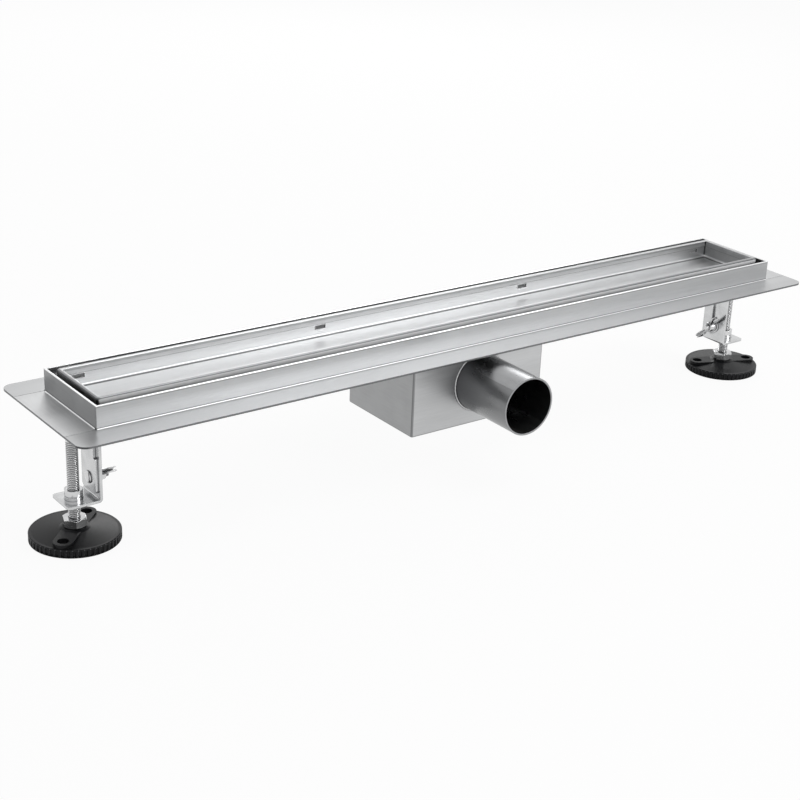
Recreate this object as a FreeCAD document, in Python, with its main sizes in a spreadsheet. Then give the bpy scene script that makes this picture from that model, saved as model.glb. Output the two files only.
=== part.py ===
import FreeCAD, Part
import os
import re

import Sketcher

# A linear shower drain with a tile tray, on two feet that adjust in height.
# The drawing frame has X along the drain, Y to its back and Z up.
# Heights written as "drop" count down from the top of the rim.

doc = FreeCAD.newDocument("linear_shower_drain")
sheet = doc.addObject("Spreadsheet::Sheet", "Sizes")

SIZES = [
    ("rim_length", 700, "outside length of the upright rim"),
    ("rim_width", 86, "outside width of the upright rim"),
    ("rim_rise", 18, "rim above the top of the flange"),
    ("rim_above_floor", 123, "top of the rim above the floor, feet as set"),
    ("frame_sheet", 1.5, "sheet of the rim and flange"),
    ("frame_bend", 1.5, "inside radius of the bend between rim and flange"),
    ("flange_margin", 25, "flange beyond the rim on every side"),
    ("flange_corner", 9, "radius of the flange's four corners"),
    ("tray_side_gap", 7.5, "drain gap between tray and rim along the sides"),
    ("tray_end_gap", 4, "gap between tray and rim at the ends"),
    ("tray_proud", 2, "top of the tray above the rim"),
    ("tray_depth", 17.2, "top of the tray down to its floor"),
    ("tray_sheet", 1.2, "sheet of the tray"),
    ("tray_corner", 2.6, "outside radius of the tray's folds"),
    ("hem_depth", 6, "height of the hem folded inside the tray's edge"),
    ("hem_width", 3.4, "thickness of the hem over both sheets"),
    ("hem_outer_round", 2, "hem's bend on the outside"),
    ("hem_inner_round", 1, "hem's bend on the inside"),
    ("key_slot_length", 10, "length of a slot in the tray's sides"),
    ("key_slot_height", 3.2, "height of a slot in the tray's sides"),
    ("key_slot_drop", 9.5, "top of the tray down to the middle of a slot"),
    ("key_slot_pitch", 218, "distance between slots along the tray"),
    ("rest_length", 24, "length of a rubber rest under the tray"),
    ("rest_width", 4, "width of a rubber rest under the tray"),
    ("rest_inset", 0.5, "rubber rest back from the edge of the trough"),
    ("trough_sheet", 1.5, "sheet of the trough"),
    ("trough_width", 58, "inside width of the trough"),
    ("trough_end_ledge", 20, "rim's end to the inside of the trough"),
    ("trough_end_depth", 8.5, "ledge down to the trough's floor at its ends"),
    ("trough_fall", 5.5, "fall of the floor from the ends to the middle"),
    ("trough_level", 4, "level floor past the sump box at each end"),
    ("trough_fold", 3, "outside radius of the trough's corners"),
    ("lip_overlap", 8, "trough's lip under the flange, past the rim"),
    ("sump_length", 138, "outside length of the sump box"),
    ("sump_width", 92, "outside width of the sump box"),
    ("sump_drop", 88, "rim's top down to the underside of the sump"),
    ("sump_sheet", 1.5, "sheet of the sump box"),
    ("sump_fold", 2, "outside radius of the sump's folds"),
    ("stub_radius", 25, "outside radius of the outlet stub"),
    ("stub_wall", 1.5, "wall of the outlet stub"),
    ("stub_drop", 50.5, "rim's top down to the stub's axis"),
    ("stub_reach", 111, "drain's middle line out to the stub's mouth"),
    ("weld_clearance", 0.1, "slack where a tube or spigot is let into a hole"),
    ("hole_radius", 26, "outlet hole in the trough"),
    ("seal_thickness", 2, "rubber ring under the trap's flange"),
    ("seal_overlap", 2.4, "seal and trap flange past the outlet hole"),
    ("seal_collar", 3.5, "seal's collar below the trough's floor"),
    ("seal_slack", 0.1, "seal's collar inside the outlet hole"),
    ("trap_flange", 2, "thickness of the trap's flange"),
    ("dip_radius", 19, "outside radius of the trap's dip tube"),
    ("dip_wall", 1.8, "wall of the dip tube"),
    ("dip_length", 40, "dip tube below its flange"),
    ("cup_radius", 25.4, "outside radius of the trap cup"),
    ("cup_wall", 1.6, "wall of the trap cup"),
    ("cup_rise", 33, "height of the trap cup"),
    ("cup_below_dip", 7.5, "underside of the cup below the dip tube's end"),
    ("cup_rib", 1.6, "thickness of the ribs that hold the cup on the tube"),
    ("cup_rib_count", 3, "ribs that hold the cup on the tube"),
    ("cup_grip", 0.1, "slack between the cup's ribs and the tube"),
    ("strainer_rim", 23, "radius of the hair strainer's rim"),
    ("strainer_sheet", 0.8, "sheet of the hair strainer"),
    ("strainer_depth", 14, "depth of the hair strainer"),
    ("strainer_slack", 0.4, "hair strainer inside the dip tube"),
    ("strainer_slot", 2.4, "width of the strainer's slots"),
    ("strainer_slot_count", 8, "slots around the strainer"),
    ("strainer_middle", 6, "radius of the strainer's floor inside its slots"),
    ("hanger_reach", 12.7, "screw's axis to the hanger's near face"),
    ("hanger_sheet", 2.2, "sheet of the hanger"),
    ("hanger_width", 23, "width of the hanger's lower part"),
    ("hanger_neck", 17, "width of the hanger's neck"),
    ("hanger_neck_drop", 57, "rim's top down to the hanger's shoulders"),
    ("hanger_below_bolt", 10.5, "clamp bolt down to the hanger's lower end"),
    ("hanger_foot", 20, "length of the hanger's folded top"),
    ("hanger_corner", 3, "radius of the hanger's lower corners"),
    ("shoulder_radius", 1.2, "radius of the hanger's shoulders"),
    ("plate_clearance", 0.1, "slack between plates that slide or turn"),
    ("bracket_sheet", 2, "sheet of the sliding bracket"),
    ("bracket_width", 28.6, "width of the sliding bracket"),
    ("bracket_top_drop", 34, "rim's top down to the bracket's upper end"),
    ("leg_below_hanger", 4, "hanger's lower end down to the bracket's leg"),
    ("bracket_leg_reach", 11.5, "leg past the screw's axis"),
    ("bracket_corner", 3, "radius of the bracket's corners"),
    ("plate_bend", 1, "inside radius of the folds in hanger and bracket"),
    ("bracket_travel", 30, "how far the bracket slides down"),
    ("slot_slack", 0.5, "slot of the bracket wider than the bolt, each side"),
    ("bush_radius", 7, "outside radius of the threaded bush"),
    ("bush_rise", 8, "bush above the bracket's leg"),
    ("bush_spigot", 6, "radius of the bush's spigot in the leg"),
    ("bush_groove", 0.7, "depth of the groove around the bush"),
    ("bush_groove_rise", 2.5, "groove above the bracket's leg"),
    ("bush_groove_width", 1, "width of the groove around the bush"),
    ("screw_radius", 4.65, "outside radius of the foot screw"),
    ("screw_slack", 0.1, "slack around the foot screw"),
    ("screw_top", 81, "upper end of the foot screw above the floor"),
    ("screw_chamfer", 1, "chamfer at the end of the foot screw"),
    ("screw_seat", 5, "screw's lower end above the floor"),
    ("screw_end_gap", 0.2, "play under the screw and under its nut"),
    ("nut_flats", 17, "width across the nut's flats"),
    ("nut_height", 7, "height of the nut"),
    ("nut_chamfer", 0.9, "height of the nut's chamfer at its corners"),
    ("nut_face_inset", 0.2, "nut's round face inside its flats"),
    ("pad_radius", 35, "outside radius of the foot pad"),
    ("pad_rim_rise", 6.6, "height of the pad's rim"),
    ("pad_rim_bevel", 0.6, "bevel around the top of the pad's rim"),
    ("pad_rim_flat", 2.6, "ring on top of the pad's rim, with its bevel"),
    ("pad_cone_radius", 12, "upper end of the pad's cone"),
    ("pad_cone_rise", 9.2, "height of the pad's cone"),
    ("pad_hub_radius", 9.5, "radius of the pad's hub"),
    ("pad_hub_rise", 10.5, "height of the pad's hub"),
    ("flute_count", 50, "flutes around the pad's rim"),
    ("flute_depth", 1, "depth of a flute"),
    ("flute_floor", 1.6, "width of a flute at its floor"),
    ("flute_flare", 0.75, "how far each side of a flute spreads for its depth"),
    ("flute_foot", 0.7, "lower end of a flute above the floor"),
    ("flute_height", 4.9, "height of a flute"),
    ("ear_radius", 7.7, "radius of the pad's two ears"),
    ("ear_rise", 9.6, "height of the pad's two ears"),
    ("ear_place", 26, "pad's axis to the middle of a screw hole"),
    ("ear_hole", 4.5, "radius of the pad's screw holes"),
    ("pocket_inner", 13, "inner radius of the pockets under the pad"),
    ("pocket_outer", 30.5, "outer radius of the pockets under the pad"),
    ("pocket_depth", 2.2, "depth of the pockets under the pad"),
    ("pocket_angle", 50, "angle of a pocket under the pad"),
    ("pocket_count", 4, "pockets under the pad"),
    ("pocket_turn", 45, "middle of a pocket from the line across the ears"),
    ("bolt_radius", 3, "radius of the clamp bolt"),
    ("bolt_slack", 0.2, "slack around the clamp bolt"),
    ("bolt_drop", 75.5, "rim's top down to the clamp bolt"),
    ("bolt_head_radius", 5, "radius of the bolt's flat head"),
    ("bolt_head", 1.8, "thickness of the bolt's head"),
    ("bolt_end", 3, "bolt past the wing nut"),
    ("washer_radius", 6.4, "outside radius of the washer"),
    ("washer_thickness", 1.4, "thickness of the washer"),
    ("wing_hub_radius", 5.2, "radius of the wing nut's hub"),
    ("wing_hub_taper", 1, "how much narrower the hub is at its end"),
    ("wing_hub_length", 7, "length of the wing nut's hub"),
    ("wing_span", 33, "distance over the wings"),
    ("wing_count", 2, "wings of the nut"),
    ("wing_rise", 12, "wings' tips off the nut's face"),
    ("wing_height", 7, "height of a wing at its tip"),
    ("wing_thickness", 2.2, "thickness of a wing"),
    ("wing_tip", 3, "radius of the wings' tips"),
    ("wing_foot", 1, "wing's lower edge off the nut's face, at the hub"),
    ("wing_crest", 4, "length of a wing's level upper edge"),
    ("wing_shoulder", 1, "hub's end past the wing's upper edge"),
    ("left_wing_turn", 32, "left wing nut's wings turned from level"),
    ("right_wing_turn", 52, "right wing nut's wings turned from level"),
    ("left_pad_turn", -45, "angle of the left pad's ears"),
    ("right_pad_turn", 68, "angle of the right pad's ears"),
    ("left_nut_turn", 12, "angle of the left nut on its screw"),
    ("right_nut_turn", -5, "angle of the right nut on its screw"),
    ("cut_margin", 1, "how far a cut starts outside the surface"),
]

for row, (word, number, meaning) in enumerate(SIZES, start=1):
    sheet.set(f"A{row}", meaning)
    sheet.set(f"B{row}", str(number))
    sheet.setAlias(f"B{row}", word)
doc.recompute()

WORDS = {word for word, number, meaning in SIZES}
PARTS = []

# Places that several pieces share, each worked out from the sheet.
HALF_LENGTH = "rim_length / 2"
HALF_WIDTH = "rim_width / 2"
MIDDLE_Y = "((stub_reach - rim_width / 2 - flange_margin) / 2)"
LEDGE_DROP = "(rim_rise + frame_sheet)"
TRAY_HALF_LENGTH = "(rim_length / 2 - frame_sheet - tray_end_gap)"
TRAY_HALF_WIDTH = "(rim_width / 2 - frame_sheet - tray_side_gap)"
TRAY_UNDER_DROP = "(tray_depth + tray_sheet - tray_proud)"
TROUGH_HALF_LENGTH = "(rim_length / 2 - trough_end_ledge + trough_sheet)"
TROUGH_HALF_WIDTH = "(trough_width / 2 + trough_sheet)"
HOLE_DROP = f"({LEDGE_DROP} + trough_end_depth + trough_fall)"
TROUGH_UNDER_DROP = f"({HOLE_DROP} + trough_sheet)"
LEVEL_HALF = "(sump_length / 2 + trough_level)"
TRAP_DROP = f"({HOLE_DROP} - seal_thickness)"
SLOT_HALF = "(bolt_radius + slot_slack)"
BRACKET_NEAR = "(hanger_reach + hanger_sheet + plate_clearance)"
BRACKET_FAR = f"({BRACKET_NEAR} + bracket_sheet)"
WASHER_NEAR = f"({BRACKET_FAR} + plate_clearance)"
WING_NEAR = f"({WASHER_NEAR} + washer_thickness + plate_clearance)"
NUT_UNDER = "(pad_hub_rise + screw_end_gap)"
HANGER_DROP = "(bolt_drop + hanger_below_bolt)"
LEG_DROP = f"({HANGER_DROP} + leg_below_hanger)"

# The tray's slots and rests, counted in pitches from its middle
SLOT_STEPS = (-1.5, -0.5, 0.5, 1.5)


def tied(text):
    """The expression with each size read from the sheet."""
    return re.sub(r"[a-z_]+", lambda found: f"Sizes.{found[0]}" if found[0] in WORDS else found[0], text)


def worth(text):
    """The value that an expression has now."""
    return float(sheet.evalExpression(tied(text)))


def new_body(name, x="0", y=MIDDLE_Y, z="rim_above_floor", turn=0):
    """A piece with its own name, its place tied to the sheet and its turn about Z in degrees."""
    body = doc.addObject("PartDesign::Body", name)
    body.Label = name
    body.Placement = FreeCAD.Placement(FreeCAD.Vector(), FreeCAD.Rotation(FreeCAD.Vector(0, 0, 1), turn))
    for letter, text in (("x", x), ("y", y), ("z", z)):
        body.setExpression(f"Placement.Base.{letter}", tied(text))
    PARTS.append(body)
    return body


def origin_part(body, role):
    """One of the body's own origin planes or axes."""
    return next(feature for feature in body.Origin.OriginFeatures if feature.Role == role)


def new_sketch(body, name, plane, lift="0", turn=0):
    """A sketch on one of the body's planes, lifted along that plane's normal."""
    sketch = body.newObject("Sketcher::SketchObject", name)
    sketch.AttachmentSupport = [(origin_part(body, plane), "")]
    sketch.MapMode = "FlatFace"
    sketch.AttachmentOffset = FreeCAD.Placement(
        FreeCAD.Vector(), FreeCAD.Rotation(FreeCAD.Vector(0, 1, 0), turn)
    )
    sketch.setExpression("AttachmentOffset.Base.z", tied(lift))
    return sketch


def pin_point(sketch, shape, end, x, y):
    """Ties one point of a sketch to two expressions."""
    for kind, text in (("DistanceX", x), ("DistanceY", y)):
        number = sketch.addConstraint(Sketcher.Constraint(kind, -1, 1, shape, end, worth(text)))
        sketch.setExpression(f"Constraints[{number}]", tied(text))


def add_loop(sketch, points):
    """A closed loop of straight lines through points given as expressions."""
    first = sketch.GeometryCount
    corners = [FreeCAD.Vector(worth(x), worth(y), 0) for x, y in points]
    for start, end in zip(corners, corners[1:] + corners[:1]):
        sketch.addGeometry(Part.LineSegment(start, end), False)
    for step, (x, y) in enumerate(points):
        following = first + (step + 1) % len(points)
        sketch.addConstraint(Sketcher.Constraint("Coincident", first + step, 2, following, 1))
        pin_point(sketch, first + step, 1, x, y)


def add_circle(sketch, x, y, radius):
    """A circle with its centre and radius given as expressions."""
    centre = FreeCAD.Vector(worth(x), worth(y), 0)
    circle = sketch.addGeometry(Part.Circle(centre, FreeCAD.Vector(0, 0, 1), worth(radius)), False)
    pin_point(sketch, circle, 3, x, y)
    number = sketch.addConstraint(Sketcher.Constraint("Radius", circle, worth(radius)))
    sketch.setExpression(f"Constraints[{number}]", tied(radius))


def rectangle(x_low, x_high, y_low, y_high):
    """The four corners of an upright rectangle."""
    return [(x_low, y_low), (x_high, y_low), (x_high, y_high), (x_low, y_high)]


def centred(half_x, half_y):
    """The four corners of a rectangle about the origin."""
    return rectangle(f"-({half_x})", half_x, f"-({half_y})", half_y)


def loops(body, name, plane, *outlines, lift="0", turn=0):
    """A sketch of closed loops."""
    sketch = new_sketch(body, name, plane, lift, turn)
    for points in outlines:
        add_loop(sketch, points)
    return sketch


def circles(body, name, plane, *rings, lift="0"):
    """A sketch of circles, each given as x, y and radius."""
    sketch = new_sketch(body, name, plane, lift)
    for x, y, radius in rings:
        add_circle(sketch, x, y, radius)
    return sketch


def long_round(body, name, plane, low, high, radius):
    """A sketch of a straight slot with round ends, its middle line along the sketch's Y."""
    sketch = new_sketch(body, name, plane)
    size = worth(radius)
    upper = FreeCAD.Vector(0, worth(high), 0)
    lower = FreeCAD.Vector(0, worth(low), 0)
    side = FreeCAD.Vector(size, 0, 0)
    up = FreeCAD.Vector(0, size, 0)
    sketch.addGeometry(Part.Arc(upper + side, upper + up, upper - side), False)
    sketch.addGeometry(Part.LineSegment(upper - side, lower - side), False)
    sketch.addGeometry(Part.Arc(lower - side, lower - up, lower + side), False)
    sketch.addGeometry(Part.LineSegment(lower + side, upper + side), False)
    for line in (1, 3):
        sketch.addConstraint(Sketcher.Constraint("Vertical", line))
    sketch.addConstraint(Sketcher.Constraint("Tangent", 0, 2, 1, 1))
    sketch.addConstraint(Sketcher.Constraint("Tangent", 1, 2, 2, 1))
    sketch.addConstraint(Sketcher.Constraint("Tangent", 2, 2, 3, 1))
    sketch.addConstraint(Sketcher.Constraint("Tangent", 3, 2, 0, 1))
    pin_point(sketch, 0, 3, "0", high)
    number = sketch.addConstraint(Sketcher.Constraint("DistanceY", -1, 1, 2, 3, worth(low)))
    sketch.setExpression(f"Constraints[{number}]", tied(low))
    number = sketch.addConstraint(Sketcher.Constraint("Radius", 0, size))
    sketch.setExpression(f"Constraints[{number}]", tied(radius))
    return sketch


def pad(body, name, sketch, length, both=False, back=False):
    """Material raised from a sketch: ahead, back, or half to each side."""
    feature = body.newObject("PartDesign::Pad", name)
    feature.Profile = sketch
    feature.Midplane = both
    feature.Reversed = back
    feature.setExpression("Length", tied(length))
    doc.recompute()
    return feature


def cut(body, name, sketch, length=None, back=False):
    """Material cut away: to a depth against the sketch's normal, or right through both ways."""
    before = body.Shape.Volume
    feature = body.newObject("PartDesign::Pocket", name)
    feature.Profile = sketch
    if length is None:
        feature.Type = "ThroughAll"
        feature.Midplane = True
    else:
        feature.Reversed = back
        feature.setExpression("Length", tied(length))
    doc.recompute()
    if body.Shape.Volume >= before:
        raise RuntimeError(f"{body.Label}: {name} cuts nothing")
    return feature


def turned(body, name, sketch, axis):
    """A sketch turned right round one of the body's axes."""
    feature = body.newObject("PartDesign::Revolution", name)
    feature.Profile = sketch
    feature.ReferenceAxis = (origin_part(body, axis), [""])
    feature.Angle = 360
    doc.recompute()
    return feature


def grooved(body, name, sketch, axis, angle="360"):
    """A sketch turned round an axis to cut material away."""
    before = body.Shape.Volume
    feature = body.newObject("PartDesign::Groove", name)
    feature.Profile = sketch
    feature.ReferenceAxis = (origin_part(body, axis), [""])
    feature.Midplane = True
    feature.setExpression("Angle", tied(angle))
    doc.recompute()
    if body.Shape.Volume >= before:
        raise RuntimeError(f"{body.Label}: {name} cuts nothing")
    return feature


def repeated(body, name, feature, axis, count):
    """A feature repeated evenly round an axis."""
    pattern = body.newObject("PartDesign::PolarPattern", name)
    pattern.Originals = [feature]
    pattern.Axis = (origin_part(body, axis), [""])
    pattern.Angle = 360
    pattern.setExpression("Occurrences", tied(count))
    body.Tip = pattern
    doc.recompute()


def near(value, text):
    """True where a coordinate lies at the place that an expression gives."""
    return abs(value - worth(text)) < 0.01


def rounded(body, name, radius, wanted):
    """Rounds the straight edges that a test picks by the edge's middle and its direction."""
    tip = body.Tip
    names = []
    for number, edge in enumerate(tip.Shape.Edges, start=1):
        if edge.Degenerated or edge.Curve.TypeId != "Part::GeomLine":
            continue
        way = edge.tangentAt(edge.FirstParameter)
        if wanted(edge.CenterOfMass, way):
            names.append(f"Edge{number}")
    if not names:
        raise RuntimeError(f"{body.Label}: {name} finds no edge")
    feature = body.newObject("PartDesign::Fillet", name)
    feature.Base = (tip, names)
    feature.setExpression("Radius", tied(radius))
    doc.recompute()


def hollowed(body, name, wall):
    """Leaves a wall of even thickness, open at the top."""
    tip = body.Tip
    top = max(face.CenterOfMass.z for face in tip.Shape.Faces)
    number = next(n for n, face in enumerate(tip.Shape.Faces, start=1) if face.CenterOfMass.z > top - 0.001)
    feature = body.newObject("PartDesign::Thickness", name)
    feature.Base = (tip, [f"Face{number}"])
    feature.Reversed = True
    feature.setExpression("Value", tied(wall))
    doc.recompute()


# Frame: four folded strips, welded at the rim's corners


def make_frame_side(name, turn):
    """The rim's wall and the flange along one side, folded from one strip."""
    body = new_body(name, turn=turn)
    outer = f"-({HALF_WIDTH} + flange_margin)"
    section = [
        (outer, f"-{LEDGE_DROP}"),
        (f"-({HALF_WIDTH} - frame_sheet)", f"-{LEDGE_DROP}"),
        (f"-({HALF_WIDTH} - frame_sheet)", "0"),
        (f"-({HALF_WIDTH})", "0"),
        (f"-({HALF_WIDTH})", "-rim_rise"),
        (outer, "-rim_rise"),
    ]
    pad(body, "fold", loops(body, "section", "YZ_Plane", section), "rim_length", both=True)
    rounded(body, "fold_inside", "frame_bend", lambda at, way: (
        abs(way.x) > 0.9 and near(at.y, f"-({HALF_WIDTH})") and near(at.z, "-rim_rise")))
    rounded(body, "fold_outside", "frame_bend + frame_sheet", lambda at, way: (
        abs(way.x) > 0.9 and near(at.y, f"-({HALF_WIDTH} - frame_sheet)") and near(at.z, f"-{LEDGE_DROP}")))
    tabs = [
        rectangle(f"{end}({HALF_LENGTH})", f"{end}({HALF_LENGTH} + flange_margin)", outer, f"-({HALF_WIDTH})")
        for end in ("", "-")
    ]
    tab_sketch = loops(body, "tab_outlines", "XY_Plane", *tabs, lift=f"-{LEDGE_DROP}")
    pad(body, "tabs", tab_sketch, "frame_sheet")
    rounded(body, "tab_corners", "flange_corner", lambda at, way: (
        abs(way.z) > 0.9 and near(abs(at.x), f"{HALF_LENGTH} + flange_margin") and near(at.y, outer)))


def make_frame_end(name, turn):
    """The rim's wall and the flange at one end, let in between the two sides."""
    body = new_body(name, turn=turn)
    outer = f"-({HALF_LENGTH} + flange_margin)"
    section = [
        (outer, f"-{LEDGE_DROP}"),
        (f"-({HALF_LENGTH} - frame_sheet)", f"-{LEDGE_DROP}"),
        (f"-({HALF_LENGTH} - frame_sheet)", "0"),
        (f"-({HALF_LENGTH})", "0"),
        (f"-({HALF_LENGTH})", "-rim_rise"),
        (outer, "-rim_rise"),
    ]
    between = "rim_width - 2 * frame_sheet"
    pad(body, "fold", loops(body, "section", "XZ_Plane", section), between, both=True)
    rounded(body, "fold_inside", "frame_bend", lambda at, way: (
        abs(way.y) > 0.9 and near(at.x, f"-({HALF_LENGTH})") and near(at.z, "-rim_rise")))
    rounded(body, "fold_outside", "frame_bend + frame_sheet", lambda at, way: (
        abs(way.y) > 0.9 and near(at.x, f"-({HALF_LENGTH} - frame_sheet)") and near(at.z, f"-{LEDGE_DROP}")))
    edges = [
        rectangle(outer, f"-({HALF_LENGTH})", f"{side}({HALF_WIDTH} - frame_sheet)", f"{side}({HALF_WIDTH})")
        for side in ("", "-")
    ]
    edge_sketch = loops(body, "edge_outlines", "XY_Plane", *edges, lift=f"-{LEDGE_DROP}")
    pad(body, "edges", edge_sketch, "frame_sheet")


# Tile tray: one folded sheet with a hem inside its top edge


def make_tile_tray():
    body = new_body("tile_tray")
    outside = centred(TRAY_HALF_LENGTH, TRAY_HALF_WIDTH)
    outline = loops(body, "outline", "XY_Plane", outside, lift="tray_proud")
    pad(body, "block", outline, "tray_depth + tray_sheet", back=True)
    rounded(body, "folds", "tray_corner", lambda at, way: (
        abs(way.z) > 0.9 or near(at.z, f"-{TRAY_UNDER_DROP}")))
    hollowed(body, "inside", "tray_sheet")
    hem = [
        centred(f"({TRAY_HALF_LENGTH} - {inset})", f"({TRAY_HALF_WIDTH} - {inset})")
        for inset in ("tray_sheet", "hem_width")
    ]
    pad(body, "hem", loops(body, "hem_outline", "XY_Plane", *hem, lift="tray_proud"), "hem_depth", back=True)
    gap = [
        centred(f"({TRAY_HALF_LENGTH} - {inset})", f"({TRAY_HALF_WIDTH} - {inset})")
        for inset in ("tray_sheet", "(hem_width - tray_sheet)")
    ]
    gap_sketch = loops(body, "hem_gap_outline", "XY_Plane", *gap, lift="tray_proud - hem_depth")
    cut(body, "hem_gap", gap_sketch, "hem_depth - hem_outer_round", back=True)
    rounded(body, "hem_outside", "hem_outer_round", lambda at, way: near(at.z, "tray_proud") and (
        near(abs(at.x), TRAY_HALF_LENGTH) or near(abs(at.y), TRAY_HALF_WIDTH)))
    rounded(body, "hem_inside", "hem_inner_round", lambda at, way: near(at.z, "tray_proud") and (
        near(abs(at.x), f"{TRAY_HALF_LENGTH} - hem_width")
        or near(abs(at.y), f"{TRAY_HALF_WIDTH} - hem_width")))
    slots = []
    for step in SLOT_STEPS:
        middle = f"{step} * key_slot_pitch"
        height = "(tray_proud - key_slot_drop)"
        slots.append(rectangle(
            f"{middle} - key_slot_length / 2", f"{middle} + key_slot_length / 2",
            f"{height} - key_slot_height / 2", f"{height} + key_slot_height / 2"))
    cut(body, "key_slots", loops(body, "slot_outlines", "XZ_Plane", *slots))


def make_tray_rests():
    """Eight rubber rests on the trough's ledge, which carry the tray."""
    body = new_body("tray_rests")
    rests = []
    for side in (1, -1):
        edge = f"{side} * (trough_width / 2 + rest_inset)"
        far = f"{side} * (trough_width / 2 + rest_inset + rest_width)"
        for step in SLOT_STEPS:
            middle = f"{step} * key_slot_pitch"
            rests.append(rectangle(f"{middle} - rest_length / 2", f"{middle} + rest_length / 2", edge, far))
    for number, outline in enumerate(rests):
        single = loops(body, f"rest_outline_{number}", "XY_Plane", outline, lift=f"-{LEDGE_DROP}")
        feature = body.newObject("PartDesign::Pad", f"rest_{number}")
        feature.Profile = single
        feature.setExpression("Length", tied(f"{LEDGE_DROP} - {TRAY_UNDER_DROP}"))
        body.AllowCompound = True
    doc.recompute()


# Trough, sump box and outlet stub, welded under the frame


def make_trough():
    body = new_body("trough")
    end_drop = f"({LEDGE_DROP} + trough_sheet + trough_end_depth)"
    side_view = [
        (f"-{TROUGH_HALF_LENGTH}", f"-{LEDGE_DROP}"),
        (f"-{TROUGH_HALF_LENGTH}", f"-{end_drop}"),
        (f"-{LEVEL_HALF}", f"-{TROUGH_UNDER_DROP}"),
        (LEVEL_HALF, f"-{TROUGH_UNDER_DROP}"),
        (TROUGH_HALF_LENGTH, f"-{end_drop}"),
        (TROUGH_HALF_LENGTH, f"-{LEDGE_DROP}"),
    ]
    pad(body, "tub", loops(body, "side_view", "XZ_Plane", side_view), f"2 * {TROUGH_HALF_WIDTH}", both=True)
    rounded(body, "corners", "trough_fold", lambda at, way: abs(way.z) > 0.9)
    hollowed(body, "inside", "trough_sheet")
    lip = [
        centred(f"({HALF_LENGTH} + lip_overlap)", f"({HALF_WIDTH} + lip_overlap)"),
        centred(f"({TROUGH_HALF_LENGTH} - trough_sheet)", "(trough_width / 2)"),
    ]
    lip_sketch = loops(body, "lip_outline", "XY_Plane", *lip, lift=f"-{LEDGE_DROP}")
    pad(body, "lip", lip_sketch, "trough_sheet", back=True)
    cut(body, "outlet_hole", circles(body, "hole_outline", "XY_Plane", ("0", "0", "hole_radius")))


def make_sump_box():
    body = new_body("sump_box")
    top_drop = f"({LEDGE_DROP} + trough_sheet)"
    outline = loops(
        body, "outline", "XY_Plane", centred("(sump_length / 2)", "(sump_width / 2)"), lift=f"-{top_drop}")
    pad(body, "block", outline, f"sump_drop - {top_drop}", back=True)
    rounded(body, "folds", "sump_fold", lambda at, way: abs(way.z) > 0.9 or near(at.z, "-sump_drop"))
    hollowed(body, "inside", "sump_sheet")
    hole = circles(body, "hole_outline", "XZ_Plane", ("0", "-stub_drop", "stub_radius - stub_wall"),
                   lift="sump_width / 2 + cut_margin")
    cut(body, "stub_hole", hole, "sump_sheet + 2 * cut_margin")
    half = f"({TROUGH_HALF_WIDTH} + weld_clearance)"
    notch = rectangle(f"-{half}", half, f"-({TROUGH_UNDER_DROP} + weld_clearance)", "0")
    cut(body, "trough_notches", loops(body, "notch_outline", "YZ_Plane", notch))


def make_outlet_stub():
    """The tube welded on the sump's front wall, square at the mouth."""
    body = new_body("outlet_stub", z="rim_above_floor - stub_drop")
    root = "-(sump_width / 2)"
    section = rectangle("-stub_reach", root, "stub_radius - stub_wall", "stub_radius")
    turned(body, "tube", loops(body, "section", "YZ_Plane", section), "Y_Axis")


# Water trap in the sump: dip tube, cup, seal and hair strainer


def make_trap_insert():
    body = new_body("trap_insert")
    bore = "(dip_radius - dip_wall)"
    section = [
        (bore, f"-({TRAP_DROP} + dip_length)"),
        ("dip_radius", f"-({TRAP_DROP} + dip_length)"),
        ("dip_radius", f"-{TRAP_DROP}"),
        ("hole_radius + seal_overlap", f"-{TRAP_DROP}"),
        ("hole_radius + seal_overlap", f"-({TRAP_DROP} - trap_flange)"),
        (bore, f"-({TRAP_DROP} - trap_flange)"),
    ]
    turned(body, "tube", loops(body, "section", "XZ_Plane", section), "Z_Axis")


def make_trap_seal():
    body = new_body("trap_seal")
    collar = "(hole_radius - seal_slack)"
    section = [
        ("dip_radius + weld_clearance", f"-{HOLE_DROP}"),
        (f"{collar} - seal_thickness", f"-{HOLE_DROP}"),
        (f"{collar} - seal_thickness", f"-({HOLE_DROP} + seal_collar)"),
        (collar, f"-({HOLE_DROP} + seal_collar)"),
        (collar, f"-{HOLE_DROP}"),
        ("hole_radius + seal_overlap", f"-{HOLE_DROP}"),
        ("hole_radius + seal_overlap", f"-{TRAP_DROP}"),
        ("dip_radius + weld_clearance", f"-{TRAP_DROP}"),
    ]
    turned(body, "ring", loops(body, "section", "XZ_Plane", section), "Z_Axis")


def make_trap_cup():
    """The cup that holds the water seal, with three ribs that grip the dip tube."""
    body = new_body("trap_cup")
    under = f"({TRAP_DROP} + dip_length + cup_below_dip)"
    section = [
        ("0", f"-{under}"),
        ("cup_radius", f"-{under}"),
        ("cup_radius", f"-({under} - cup_rise)"),
        ("cup_radius - cup_wall", f"-({under} - cup_rise)"),
        ("cup_radius - cup_wall", f"-({under} - cup_wall)"),
        ("0", f"-({under} - cup_wall)"),
    ]
    turned(body, "shell", loops(body, "section", "XZ_Plane", section), "Z_Axis")
    rib = loops(
        body, "rib_outline", "XY_Plane",
        rectangle("dip_radius + cup_grip", "cup_radius - cup_wall / 2", "-cup_rib / 2", "cup_rib / 2"),
        lift=f"-({under} - cup_rise)")
    first = pad(body, "rib", rib, "cup_rise - cup_wall / 2", back=True)
    repeated(body, "ribs", first, "Z_Axis", "cup_rib_count")


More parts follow.
